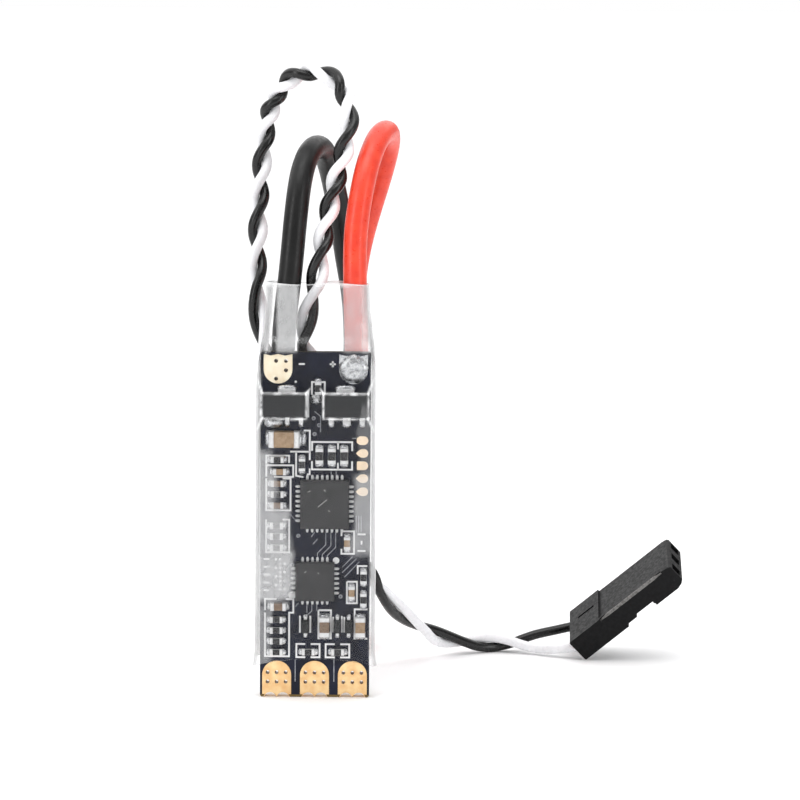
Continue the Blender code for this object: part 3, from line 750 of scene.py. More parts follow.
def make_puddle(finishes):
    """The flat, lumpy puddle of solder on the positive battery pad."""
    node = "battery_pad_solder"
    low, high = box_mm(node)
    x, half = middle_and_half(node)

    def surface(out, px, pz):
        rise = 0.42 * (1.0 - out**5) + 0.05
        lump = 0.09 * noise.noise(Vector((px * 1.3, pz * 1.3, 3.0)))
        lump += 0.05 * noise.noise(Vector((px * 3, pz * 3, 8.0)))
        return FRONT_Y - PLATING / 2 - rise - lump * (1 - out**3)

    def wobble(angle):
        return 1.0 + 0.03 * math.sin(5 * angle) + 0.02 * math.sin(9 * angle + 1)

    bm = bmesh.new()
    add_heap(bm, (x, (low.z + high.z) / 2), (half, half), 14, 40, 0.97, surface, wobble)
    mesh_piece("battery_pad_puddle", bm, finishes["solder"], [node], 60.0)


def teardrop(x, z, tip):
    """A programming pad: round to the right, and to the left round, square or pointed."""
    tips = {
        "square": ((-0.5, 0.45), (-0.58, 0.37), (-0.58, -0.37), (-0.5, -0.45)),
        "round": ((-0.3, 0.45), (-0.6, 0.22), (-0.6, -0.22), (-0.3, -0.45)),
        "point": ((-0.2, 0.42), (-0.45, 0.24), (-0.68, 0.0), (-0.45, -0.24), (-0.2, -0.42)),
    }
    return arc(x + 0.12, z, 0.45, -90, 90, 10) + [(x + dx, z + dz) for dx, dz in tips[tip]]


def make_programming_pads(finishes):
    """The five thin gold pads in a column at the right edge."""
    bm = bmesh.new()
    for z, tip in PROGRAMMING_PADS:
        add_plate(bm, teardrop(PROGRAMMING_PAD_X, z, tip), FRONT_Y - 0.035, FRONT_Y)
    bevel(mesh_piece("programming_pads", bm, finishes["pale_gold"]), 0.012)


LEGEND_WIDTH = 0.18
LEGEND_LINES = (
    # round the three upright resistors
    ((-0.35, 25.3), (-0.35, 26.2), (3.7, 26.2), (3.7, 25.3)),
    ((-0.35, 24.25), (-0.35, 23.4), (3.7, 23.4), (3.7, 24.25)),
    ((2.27, 26.2), (2.27, 25.45)),
    ((2.27, 24.1), (2.27, 23.4)),
    # beside the supply capacitor and the upright resistor below it
    ((-1.2, 27.35), (-0.58, 27.35), (-0.58, 24.35)),
    ((-2.55, 25.2), (-0.58, 25.2)),
    ((-1.95, 25.2), (-1.95, 22.75), (-1.2, 22.6)),
    ((-0.58, 23.5), (-0.58, 22.9), (-0.85, 22.9)),
    # left column, upper parts
    ((-4.95, 23.95), (-4.95, 24.78), (-2.66, 24.78), (-2.66, 24.05)),
    ((-4.95, 22.62), (-4.95, 23.8), (-2.24, 23.8), (-2.24, 22.62), (-4.2, 22.62)),
    ((-3.3, 22.45), (-2.5, 22.45), (-2.5, 19.2), (-4.95, 19.2), (-4.95, 22.45)),
    ((-3.3, 18.25), (-2.63, 18.25), (-2.63, 14.9), (-4.95, 14.9), (-4.95, 18.25)),
    # upright capacitors at the right
    ((2.67, 16.6), (2.67, 17.1), (3.95, 17.1), (3.95, 14.8), (2.67, 14.8), (2.67, 15.3)),
    ((3.25, 11.93), (4.26, 11.93), (4.26, 9.72), (3.25, 9.72), (3.25, 11.93)),
    ((5.3, 13.55), (4.33, 13.55), (4.33, 12.7)),
    # lower left
    ((-5.05, 8.95), (-5.05, 10.1), (-3.9, 10.1)),
    ((-2.95, 10.1), (-2.18, 10.1), (-2.18, 8.7), (-2.6, 8.7), (-2.6, 4.2), (-5.05, 4.2), (-5.05, 8.7)),
    # round the capacitors and beside the diodes
    ((0.38, 8.98), (1.64, 8.98), (1.64, 6.08), (0.38, 6.08), (0.38, 8.98)),
    ((5.35, 9.1), (4.05, 9.1), (4.05, 6.08), (5.35, 6.08)),
    ((-1.5, 8.4), (-1.5, 6.65)),
    ((-0.45, 8.4), (-0.45, 6.65)),
    ((1.86, 8.3), (1.86, 6.7)),
    ((2.75, 8.4), (2.75, 6.7)),
    ((3.0, 8.3), (3.0, 6.7)),
    # lowest row
    ((-0.95, 5.48), (-1.85, 5.48), (-1.85, 4.12), (-0.95, 4.12)),
    ((-0.4, 5.48), (0.5, 5.48), (0.5, 4.12), (-0.4, 4.12)),
    ((2.05, 5.48), (1.12, 5.48), (1.12, 4.12), (2.05, 4.12)),
    ((2.6, 5.48), (3.52, 5.48), (3.52, 4.12), (2.6, 4.12)),
    # round the small part between the regulators, and beside their corners
    ((-0.38, 31.0), (-0.38, 32.28), (0.9, 32.28), (0.9, 31.0)),
    ((-0.75, 31.35), (-0.75, 28.7)),
    # polarity, minus and plus
    ((-1.72, 34.1), (-1.12, 34.1)),
    ((1.4, 34.1), (2.0, 34.1)),
    ((1.7, 33.8), (1.7, 34.4)),
    # generic ticks beside the lower programming pads
    ((4.3, 16.8), (5.1, 16.8)),
    ((4.7, 16.15), (4.7, 15.75)),
    ((4.3, 15.1), (5.1, 15.1)),
)
LEGEND_DOTS = ((2.13, 14.1, 0.34), (-2.3, 10.5, 0.4), (-2.02, 32.3, 0.12))
# A generic patch of dots and a column of dashes beside it: the first one's place, and the step to the next
DOT_PATCH, DOT_PITCH, DOT_RADIUS = (-3.95, 11.1), 0.44, 0.1452
DASHES, DASH_PITCH, DASH_LENGTH = (-5.2, 11.0), 0.8, 0.6
TRACE_WIDTH = 0.09
TRACE_LINES = (
    ((-1.97, 3.85), (-1.97, 1.6)),
    ((1.97, 4.0), (1.97, 1.6)),
    ((1.08, 17.0), (1.08, 15.7), (0.25, 14.85), (0.25, 14.35)),
    ((1.6, 17.0), (1.6, 15.6), (0.74, 14.7), (0.74, 14.35)),
    ((2.08, 17.0), (2.08, 15.45), (1.25, 14.6), (1.25, 14.35)),
    ((-0.05, 17.0), (-0.38, 16.5)),
    ((0.25, 16.3), (-0.22, 15.75)),
    ((3.8, 14.5), (2.75, 13.4)),
    ((4.2, 14.3), (2.75, 12.85)),
    ((4.5, 14.0), (3.0, 12.4)),
    ((1.6, 23.3), (1.6, 22.7)),
    ((2.1, 23.3), (2.1, 22.7)),
    ((4.15, 18.7), (4.15, 17.0)),
    ((4.4, 18.7), (4.4, 17.0)),
    ((4.65, 18.7), (4.65, 17.0)),
    ((-0.8, 9.75), (-0.8, 8.7)),
    ((-0.3, 9.75), (-0.3, 8.9), (-0.95, 8.3)),
    ((0.2, 9.75), (0.2, 8.9)),
    ((-2.5, 18.8), (-2.1, 18.3), (-1.75, 18.3)),
    ((-1.65, 9.7), (-2.0, 9.3)),
    ((3.7, 26.6), (4.1, 26.6)),
    ((-0.1, 29.3), (0.5, 28.8), (0.5, 27.2)),
)


def make_legend(finishes):
    """White printed lines, dots and dashes, with no lettering, and the fine traces."""
    bm = bmesh.new()
    for points in LEGEND_LINES:
        add_stroke(bm, points, LEGEND_WIDTH, FRONT_Y - INK, FRONT_Y + INK)
    for x, z, radius in LEGEND_DOTS:
        add_ink(bm, round_hole(x, z, radius))
    for column in range(3):
        for row in range(8):
            if (3 * column + 2 * row) % 4:
                x, z = DOT_PATCH[0] + DOT_PITCH * column, DOT_PATCH[1] + DOT_PITCH * row
                add_ink(bm, round_hole(x, z, DOT_RADIUS, 8))
    for row in range(5):
        x, z = DASHES[0], DASHES[1] + DASH_PITCH * row
        add_stroke(bm, ((x, z), (x + DASH_LENGTH, z)), LEGEND_WIDTH, FRONT_Y - INK, FRONT_Y + INK)
    mesh_piece("printed_legend", bm, finishes["ink"])
    bm = bmesh.new()
    for points in TRACE_LINES:
        add_stroke(bm, points, TRACE_WIDTH, FRONT_Y - INK, FRONT_Y + INK)
    mesh_piece("fine_traces", bm, finishes["trace"])


# ---------------------------------------------------------------- parts on the board

CAPPED_LOOKS = {  # CAD node: body finish
    "supply_capacitor": "tan",
    "filter_capacitor_1": "tan",
    "filter_capacitor_2": "brown",
    "filter_capacitor_3": "tan",
    "filter_capacitor_4": "tan",
    "boost_capacitor_1": "brown",
    "boost_capacitor_2": "brown",
    "boost_capacitor_3": "tan",
    "bulk_capacitor_1": "tan",
    "bulk_capacitor_2": "tan",
    "bulk_capacitor_3": "tan",
    **{f"resistor_{number}": "glaze" for number in range(1, 16)},
}
EXTRAS = (  # four small parts that the CAD leaves out: name, middle x and z, body finish, upright
    ("input_resistor", 0.24, 31.65, "glaze", True),
    ("sense_resistor", -3.86, 19.72, "brown", False),
    ("edge_resistor_1", 4.92, 12.4, "glaze", True),
    ("edge_resistor_2", 4.92, 10.1, "glaze", True),
)
EXTRA_SIZE = Vector((1.3, 0.42, 0.66))
CAP_SHARE = 0.24  # of the length, at each end
WIDE_BODY_CAP_SHARE = 0.18  # for the large supply capacitor
LEAD_GAP = 0.03  # between the board and the regulators' leads
CHIP_PIN_STEP = 0.5
TRANSISTOR_PIN_STEP = 1.27


def add_rounded_block(bm, low, high, corner, index):
    """Adds a block with its long edges eased."""
    rings = []
    for y, inset in ((low.y, corner), (low.y + corner, 0.0), (high.y - corner, 0.0), (high.y, corner)):
        x0, x1, z0, z1 = low.x + inset, high.x - inset, low.z + inset, high.z - inset
        rings.append([(x0, y, z0), (x1, y, z0), (x1, y, z1), (x0, y, z1)])
    add_loft(bm, rings, index=index)


def capped_part(name, low, high, body, finishes, solder_bm, replaced=(), side=-1):
    """A ceramic part: its body, its two tinned caps, and a fillet of solder at each end."""
    size = high - low
    upright = size.z > size.x
    length, width = (size.z, size.x) if upright else (size.x, size.z)
    height = size.y
    middle = (low + high) / 2
    foot_y = high.y if side < 0 else low.y
    cap = (WIDE_BODY_CAP_SHARE if name == "supply_capacitor" else CAP_SHARE) * length
    proud = min(0.035, 0.05 * width)

    def corner(along, rise, across):
        flat = (across, along) if upright else (along, across)
        return Vector((middle.x + flat[0], foot_y + side * rise, middle.z + flat[1]))

    def piece(along_low, along_high, rise_low, rise_high, half, index, ease):
        ends = list(zip(corner(along_low, rise_low, -half), corner(along_high, rise_high, half)))
        low_end, high_end = (Vector([pick(pair) for pair in ends]) for pick in (min, max))
        add_rounded_block(bm, low_end, high_end, ease, index)

    bm = bmesh.new()
    inner = length / 2 - cap
    if body == "glaze":
        piece(-inner - 0.05, inner + 0.05, 0.02, height - 0.1, width / 2 - proud, 2, 0.01)
        piece(-inner - 0.02, inner + 0.02, height - 0.11, height - 0.02, width / 2 - proud - 0.02, 0, 0.03)
    else:
        piece(-inner - 0.05, inner + 0.05, 0.02, height - proud, width / 2 - proud, 0, 0.05 * width)
    for way in (-1, 1):
        piece(*sorted((way * inner, way * length / 2)), 0.0, height, width / 2, 1, 0.06 * width)
    skins = [finishes[body], finishes["tin"], finishes["alumina"]]
    bevel(mesh_piece(f"{name}_detail", bm, skins, replaced), 0.015)
    reach = min(0.32, 0.16 * length + 0.1)
    for way in (-1, 1):
        at = corner(way * (length / 2 + 0.25 * reach), 0.0, 0.0)
        halves = (0.54 * width, 0.95 * reach) if upright else (0.95 * reach, 0.54 * width)
        add_mound(solder_bm, at.x, at.z, *halves, 0.62 * height, foot_y, side)


def make_capped_parts(finishes, solder_bm):
    """Every capacitor and resistor, with the four that the CAD leaves out."""
    for node, body in CAPPED_LOOKS.items():
        low, high = box_mm(node)
        back = low.y > BACK_Y - 0.01
        capped_part(node, low, high, body, finishes, solder_bm, [node], 1 if back else -1)
    for name, x, z, body, upright in EXTRAS:
        half = (EXTRA_SIZE.zyx if upright else EXTRA_SIZE) / 2
        middle = Vector((x, FRONT_Y - half.y, z))
        capped_part(name, middle - half, middle + half, body, finishes, solder_bm)


def pin_one_profile(outer, inner):
    """The profile of a shallow ring in a chip's face, for add_turned."""
    return ((-0.02, outer), (0.006, outer), (0.006, inner), (-0.02, inner))


def make_chip_pins(finishes):
    """The leadless chips' solder toes, and round marks for pin one."""
    bm = bmesh.new()
    marks = bmesh.new()
    toe, narrow, wide, rise = 0.17, 0.145, 0.32, 0.16
    for node, pins in (("microcontroller", 8), ("gate_driver", 6)):
        low, high = box_mm(node)
        middle, half = (low + high) / 2, (high - low) / 2
        for number in range(pins):
            along = (number - (pins - 1) / 2) * CHIP_PIN_STEP
            for way in (-1, 1):
                side_x = middle.x + way * (half.x + toe)
                side_z = middle.z + way * (half.z + toe)
                add_mound(bm, side_x, middle.z + along, wide, narrow, rise, FRONT_Y, steps=12)
                add_mound(bm, middle.x + along, side_z, narrow, wide, rise, FRONT_Y, steps=12)
        add_turned(marks, high.x - 0.6, high.z - 0.6, low.y, pin_one_profile(0.2, 0.15), -1, 24, True)
    mesh_piece("chip_toes", bm, finishes["tin"], sharp_angle=60.0)
    mesh_piece("pin_one_marks", marks, finishes["regulator"])


SCUFFS = (  # the chip each scratch is on, and its two ends
    ("microcontroller", (0.3, 19.7), (1.2, 20.45)),
    ("microcontroller", (-0.75, 21.2), (-0.45, 21.35)),
    ("microcontroller", (0.9, 21.45), (1.05, 21.3)),
    ("microcontroller", (1.35, 19.35), (1.5, 19.25)),
    ("gate_driver", (-1.05, 12.95), (-0.85, 13.1)),
    ("gate_driver", (0.3, 13.0), (0.42, 12.85)),
)
SCUFF_WIDTH = 0.07


def make_scuffs(finishes):
    """A few light scratches on the two chips."""
    bm = bmesh.new()
    for node, *ends in SCUFFS:
        face_y = box_mm(node)[0].y
        add_stroke(bm, ends, SCUFF_WIDTH, face_y - 0.006, face_y + INK)
    mesh_piece("chip_scuffs", bm, finishes["scuff"])


REGULATOR_METAL = (  # node, its tab's offset and width, and its leads' offsets and widths
    ("voltage_regulator_left", (0.25, 1.75), ((-1.0, 0.5), (0.3, 0.42), (1.68, 0.42))),
    ("voltage_regulator_right", (-0.1, 1.8), ((-1.5, 0.5), (0.05, 0.8), (1.62, 0.5))),
)


def add_lead(bm, x, width, z_low, z_high, thick):
    """Adds a flat metal lead that stands just off the board."""
    half = width / 2
    add_block(bm, (x - half, FRONT_Y - thick, z_low), (x + half, FRONT_Y - LEAD_GAP, z_high))


def make_regulator_metal(finishes, solder_bm):
    """The regulators' tabs above their bodies and three leads below, with their solder."""
    bm = bmesh.new()
    for node, (tab_offset, tab_width), leads in REGULATOR_METAL:
        low, high = box_mm(node)
        x = (low.x + high.x) / 2
        add_lead(bm, x + tab_offset, tab_width, high.z - 0.3, high.z + 0.42, 0.45)
        add_mound(solder_bm, x + tab_offset, high.z + 0.42, tab_width / 2 + 0.12, 0.4, 0.4, FRONT_Y)
        for offset, width in leads:
            add_lead(bm, x + offset, width, low.z - 0.75, low.z + 0.3, 0.42)
            add_mound(solder_bm, x + offset, low.z - 0.72, width / 2 + 0.1, 0.45, 0.4, FRONT_Y)
    low, high = box_mm("voltage_regulator_left")
    add_mound(solder_bm, low.x + 1.1, low.z - 0.6, 1.0, 0.62, 0.6, FRONT_Y)
    low, high = box_mm("supply_capacitor")
    add_mound(solder_bm, high.x + 0.35, (low.z + high.z) / 2, 0.35, 0.75, 0.35, FRONT_Y)
    add_mound(solder_bm, 0.08, 30.55, 0.62, 0.5, 0.35, FRONT_Y)
    bevel(mesh_piece("regulator_tabs_and_leads", bm, finishes["tin"]), 0.05, 3)


def make_diode_leads(finishes, solder_bm):
    """A short lead at each end of the three diodes, with its solder."""
    bm = bmesh.new()
    for number in (1, 2, 3):
        low, high = box_mm(f"diode_{number}")
        x = (low.x + high.x) / 2
        for z, way in ((low.z, -1), (high.z, 1)):
            ends = sorted((z - 0.1 * way, z + 0.3 * way))
            add_block(bm, (x - 0.16, FRONT_Y - 0.2, ends[0]), (x + 0.16, FRONT_Y - 0.02, ends[1]))
            add_mound(solder_bm, x, z + 0.28 * way, 0.24, 0.3, 0.2, FRONT_Y)
    bevel(mesh_piece("diode_leads", bm, finishes["tin"]), 0.03)


def make_transistor_pins(finishes):
    """The power transistors' solder toes, four on each of two sides, and their pin-one dimples."""
    bm = bmesh.new()
    marks = bmesh.new()
    for number in range(1, 7):
        low, high = box_mm(f"power_transistor_{number}")
        middle = (low + high) / 2
        for pin in range(4):
            x = middle.x + (pin - 1.5) * TRANSISTOR_PIN_STEP
            for z in (low.z - 0.05, high.z + 0.05):
                add_mound(bm, x, z, 0.24, 0.16, 0.3, BACK_Y, 1)
        add_turned(marks, high.x - 0.7, low.z + 0.7, high.y, pin_one_profile(0.26, 0.2), 1, 24, True)
    mesh_piece("transistor_toes", bm, finishes["solder"])
    mesh_piece("transistor_marks", marks, finishes["regulator"])


def finish_chips(finishes):
    """The CAD nodes whose shape is right keep it, and get their looks."""
    looks = {
        "chip": ("microcontroller", "gate_driver"),
        "regulator": (
            *(f"voltage_regulator_{side}" for side in ("left", "right")),
            *(f"diode_{number}" for number in (1, 2, 3)),
            *(f"power_transistor_{number}" for number in range(1, 7)),
        ),
        "contact": ("signal_contact", "ground_contact"),
    }
    for look, nodes in looks.items():
        for node in nodes:
            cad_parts[node].material_slots[0].material = finishes[look]


def make_lead_joints(finishes):
    """The leads' solder joints on the back, each a rounded heap of solder."""
    for kind in ("negative", "positive", "signal", "ground"):
        node = f"{kind}_solder_joint"
        low, high = box_mm(node)
        middle, half = (low + high) / 2, (high - low) / 2
        height = high.y - low.y

        def surface(out, x, z):
            lump = 0.08 * height * noise.noise(Vector((x * 1.6, z * 1.6, 5.0))) * (1 - out)
            return BACK_Y + height * (1.0 - out**2.6) + lump

        bm = bmesh.new()
        add_heap(bm, (middle.x, middle.z), (half.x, half.z), 12, 32, 0.96, surface, lambda angle: 1.0)
        mesh_piece(f"{node}_heap", bm, finishes["solder"], [node], 60.0)


# ---------------------------------------------------------------- sleeve

SLEEVE_WALL = 0.2
SLEEVE_TOP = box_mm("heat_shrink_sleeve")[1].z
SLEEVE_FOOT = 3.7
SLEEVE_HALF = 6.2  # about half its width at the foot
# height, left, right, front, back, corner radius, from the foot up
SLEEVE_SECTIONS = (
    (3.7, -6.3, 6.35, -2.3, 2.15, 0.9),
    (4.3, -6.15, 6.2, -2.3, 2.05, 0.8),
    (5.5, -6.06, 6.12, -2.3, 2.05, 0.75),
    (26.0, -6.02, 6.06, -2.3, 2.05, 0.75),
    (31.2, -6.0, 6.06, -2.3, 2.3, 0.75),
    (32.6, -5.95, 6.04, -2.2, 2.6, 0.8),
    (34.2, -5.8, 6.0, -2.0, 2.85, 0.85),
    (35.6, -5.6, 5.88, -1.7, 2.9, 1.0),
    (37.4, -5.3, 5.66, -0.7, 2.9, 1.25),
    (39.5, -5.18, 5.42, -0.16, 2.9, 1.4),
    (42.1, -5.12, 5.34, -0.1, 2.9, 1.4),
)
TENT_RISE = 0.56  # how far the film stands out over the tall parts
TENT_FADE = 0.7  # over how far it falls back beside them
REGULATORS = [box_mm(f"voltage_regulator_{side}") for side in ("left", "right")]
# The film bridges from the left regulator to the big capacitor below it
BRIDGE_LOW = Vector((REGULATORS[0][0].x, 0.0, box_mm("supply_capacitor")[0].z))
TENTS = [(BRIDGE_LOW, REGULATORS[0][1]), REGULATORS[1]]
CREASE_GLINTS = (  # start and end of the painted glints along the stretch lines that run from the corners of the regulators
    ((-5.3, 31.2), (-5.95, 32.9)),
    ((-5.3, 28.9), (-5.95, 27.3)),
    ((-1.0, 31.2), (-0.4, 31.9)),
    ((0.9, 31.2), (0.35, 31.9)),
    ((5.25, 31.2), (5.95, 33.0)),
    ((5.25, 28.9), (5.95, 27.2)),
)
PAINTED_REFLECTION_PATCHES = (  # painted reflection patches on the film's front: middle x and z, half width and half height, amount
    (-4.6, 12.75, 2.8, 2.75, 0.27),
    (-5.2, 15.6, 3.0, 4.4, 0.22),
    (-5.6, 21.5, 1.9, 4.5, 0.2),
    (-5.7, 6.5, 1.5, 3.6, 0.12),
    (5.3, 18.8, 1.8, 4.6, 0.17),
    (5.3, 24.0, 1.0, 7.0, 0.05),
)
NECK_MIDDLE_Y = 1.4  # the neck's stripes of haze and painted reflection are on its front half
NECK_HAZE_AND_REFLECTION_STRIPES = (  # middle, half width and amount of real haze with painted reflection, over the leads and between them in the neck
    (-2.9, 1.3, 0.27),
    (4.2, 1.8, 0.2),
    (5.0, 0.5, 0.1),
    (-4.9, 0.5, 0.2),
)


def eased(value, low, high):
    """0 below low and 1 above high, with a smooth step between."""
    t = min(max((value - low) / (high - low), 0.0), 1.0)
    return t * t * (3 - 2 * t)


def sleeve_section(z):
    """The section at a height, eased between the listed ones."""
    heights = [section[0] for section in SLEEVE_SECTIONS]
    z = min(max(z, heights[0]), heights[-1])
    i = max(k for k in range(len(heights) - 1) if heights[k] <= z)
    t = eased(z, heights[i], heights[i + 1])
    return [a + (b - a) * t for a, b in zip(SLEEVE_SECTIONS[i][1:], SLEEVE_SECTIONS[i + 1][1:])]


def outside_box(x, z, low, high):
    """How far a point is outside a box seen from the front. It is below zero inside."""
    reach_x = max(low.x - x, x - high.x)
    reach_z = max(low.z - z, z - high.z)
    if reach_x > 0 and reach_z > 0:
        return math.hypot(reach_x, reach_z)
    return max(reach_x, reach_z)


def crease_glint_strength(x, z):
    """Near 1 on a painted crease glint, fading to its far end."""
    strongest = 0.0
    for start, end in CREASE_GLINTS:
        way = Vector(end) - Vector(start)
        share = (Vector((x, z)) - Vector(start)).dot(way) / way.length_squared
        if 0.0 <= share <= 1.0:
            gap = (Vector((x, z)) - Vector(start) - way * share).length
            strongest = max(strongest, (1.0 - share) * math.exp(-((gap / 0.1) ** 2)))
    return strongest


def drape(x, z):
    """How far the film stands out at the front, stretched over the tall parts beneath."""
    return TENT_RISE * max(math.exp(-max(outside_box(x, z, *tent), 0.0) / TENT_FADE) for tent in TENTS)


def haze_and_sheen_at(x, y, z):
    """How milky the film is at a point: the shrunk neck with painted reflection over its leads, patches of
    painted reflection, painted glints round the regulators and along the creases, stretched edges and cut
    ends.
    """
    neck = 0.01
    # Real haze of the shrunk neck, with painted reflection over the leads
    if y < NECK_MIDDLE_Y:
        for middle, half, amount in NECK_HAZE_AND_REFLECTION_STRIPES:
            neck += amount * (1.0 - eased(abs(x - middle), 0.6 * half, half))
    haze_and_sheen = neck * eased(z, 35.0, 35.8)
    haze_and_sheen += 0.35 * eased(z, SLEEVE_TOP - 0.22, SLEEVE_TOP - 0.05)
    haze_and_sheen += 0.3 * eased(abs(x), 5.45, 5.8) * (1.0 - eased(z, 33.0, 35.5))
    if y > 0.0:
        return haze_and_sheen
    waver = Vector((x * 0.5, z * 0.35, 1.0))
    shift_x, shift_z = 0.9 * noise.noise(waver), 0.5 * noise.noise(waver + Vector((9.0, 0.0, 0.0)))
    # Patches of painted reflection, given as milk in the film
    for middle_x, middle_z, half_width, half_height, amount in PAINTED_REFLECTION_PATCHES:
        across = 1.0 - eased(abs(x + shift_x - middle_x), 0.55 * half_width, half_width)
        along = 1.0 - eased(abs(z + shift_z - middle_z), 0.75 * half_height, half_height)
        haze_and_sheen = max(haze_and_sheen, amount * across * along)
    # Painted glints along the outline of each regulator, where the film bends over it
    for low, high in REGULATORS:
        outline_glint = 0.15 + 1.3 * abs(noise.noise(Vector((x * 0.9, 2.0, z * 0.9))))
        haze_and_sheen += outline_glint * math.exp(-(((outside_box(x, z, low, high) - 0.07) / 0.1) ** 2))
    # Painted glints along the creases from the regulators' corners
    return haze_and_sheen + 0.8 * crease_glint_strength(x, z)


def sleeve_loop(z, wall):
    """The film's (x, y) outline at a height, moved in by the wall's thickness."""
    left, right, front, back, corner = sleeve_section(z)
    x0, x1, y0, y1, r = left + wall, right - wall, front + wall, back - wall, corner - wall
    straight = x1 - x0 - 2 * r
    corner_steps, front_steps, back_steps = 6, 118, 22
    loop = arc(x0 + r, y0 + r, r, 180, 270, corner_steps)
    loop += [(x0 + r + straight * k / front_steps, y0) for k in range(1, front_steps)]
    loop += arc(x1 - r, y0 + r, r, 270, 360, corner_steps)
    loop += arc(x1 - r, y1 - r, r, 0, 90, corner_steps)
    loop += [(x1 - r - straight * k / back_steps, y1) for k in range(1, back_steps)]
    return loop + arc(x0 + r, y1 - r, r, 90, 180, corner_steps)


def make_sleeve(finishes):
    """Clear film with a wall, draped over the regulators, open and uneven at both ends."""
    heights = [SLEEVE_FOOT]
    while heights[-1] < SLEEVE_TOP - 0.2:
        heights.append(heights[-1] + (0.13 if 26.5 < heights[-1] < 33.5 else 0.4))
    heights += [SLEEVE_TOP - 0.1, SLEEVE_TOP]
    outer, inner = [], []
    for height in heights:
        share = (height - SLEEVE_FOOT) / (SLEEVE_TOP - SLEEVE_FOOT)
        near_foot, near_top = max(0.0, 1 - share * 12), max(0.0, share * 12 - 11)
        for rings, wall in ((outer, 0.0), (inner, SLEEVE_WALL)):
            ring = []
            for x, y in sleeve_loop(height, wall):
                lift = 0.45 * math.cos(min(abs(x) / SLEEVE_HALF, 1.0) * math.pi / 2) if y < 0 else 0.2
                lift -= 0.3 * (abs(x) / SLEEVE_HALF) ** 4
                z = height + lift * near_foot + 0.1 * math.sin(x * 0.9) * near_top
                ripple = 0.05 * noise.noise(Vector((x * 0.35, y * 0.35, z * 0.22)))
                stands_out = drape(x, z) * eased(-y, -0.5, 1.2)
                ring.append((x + ripple * 0.6, y - stands_out + ripple, z))
            rings.append(ring)
    bm = bmesh.new()
    add_loft(bm, outer + inner[::-1], ring_closed=True)
    film = mesh_piece("shrink_film", bm, finishes["film"], ["heat_shrink_sleeve"], 70.0)
    # Each point's haze, with the painted reflections and glints in it
    haze_and_sheen = film.data.attributes.new("haze_and_sheen", "FLOAT", "POINT")
    for vertex, value in zip(film.data.vertices, haze_and_sheen.data):
        value.value = haze_and_sheen_at(*(vertex.co / MM))


# ---------------------------------------------------------------- leads

END_OVERLAP = 0.3  # of the strands inside the insulation


def make_lead_end(name, path, node, finishes):
    """A tinned bundle of fine strands past the end of the insulation, eight round one."""
    upward = Vector((0.0, 0.0, 1.0))
    onwards = (path[-1] - path[-2]).normalized()
    onwards.z = 0.0
    across = onwards.cross(upward)
    low, high = box_mm(node)
    start = path[-1] - onwards * END_OVERLAP
    length = (high - low).to_2d().length + END_OVERLAP
    bm = bmesh.new()
    for wire in range(9):
        turn, out = math.tau * wire / 8, 0.0 if wire == 8 else 0.43
        line = []
        for step in range(13):
            along = length * step / 12
            angle = turn + along * 0.45
            line.append(start + onwards * along + out * (math.cos(angle) * across + math.sin(angle) * upward))
        add_sweep(bm, line, [0.2] * 12 + [0.14], 10)
    return mesh_piece(name, bm, finishes["copper"], [node])


def make_power_lead(node, route, finish, finishes):
    """A silicone lead along its route, and its tinned end."""
    path = smooth_path(route)
    curve = bpy.data.curves.new(f"{node}_insulation", "CURVE")
    curve.dimensions = "3D"
    curve.bevel_depth = POWER_LEAD_DIAMETER / 2 * MM
    curve.bevel_resolution = 8
    curve.use_fill_caps = True
    curve.twist_mode = "MINIMUM"
    points = evenly_spaced(path, 0.6)
    spline = curve.splines.new("POLY")
    spline.points.add(len(points) - 1)
    for place, point in zip(spline.points, points):
        place.co = (*(point * MM), 1.0)
    curve.materials.append(finish)
    lead = new_object(f"{node}_insulation", curve)
    ride(lead, node)
    end = make_lead_end(f"{node}_tinned_end", points, f"{node}_strands", finishes)
    round(path_length(path)) * MM


# The plug's own directions: along it from its wire end to its mouth, and across its ways
PLUG_ALONG = Vector((0.734549, -0.213406, 0.644124))
PLUG_ACROSS = Vector((0.043521, 0.96212, 0.269131))
PLUG_ACROSS = (PLUG_ACROSS - PLUG_ALONG * PLUG_ACROSS.dot(PLUG_ALONG)).normalized()
PLUG_REAR = Vector((27.92, 22.1, 1.989))
PLUG_LENGTH, PLUG_WIDTH, PLUG_THICKNESS = 14.0, 7.6, 2.7
PLUG_PITCH = 2.54
PLUG_STEP = 4.2  # where its thick wire end stops
PLUG_RECESS = 0.22
RAIL_RADIUS = 0.26
PARTING = 7.0  # the length over which the strands part towards the plug's outer ways


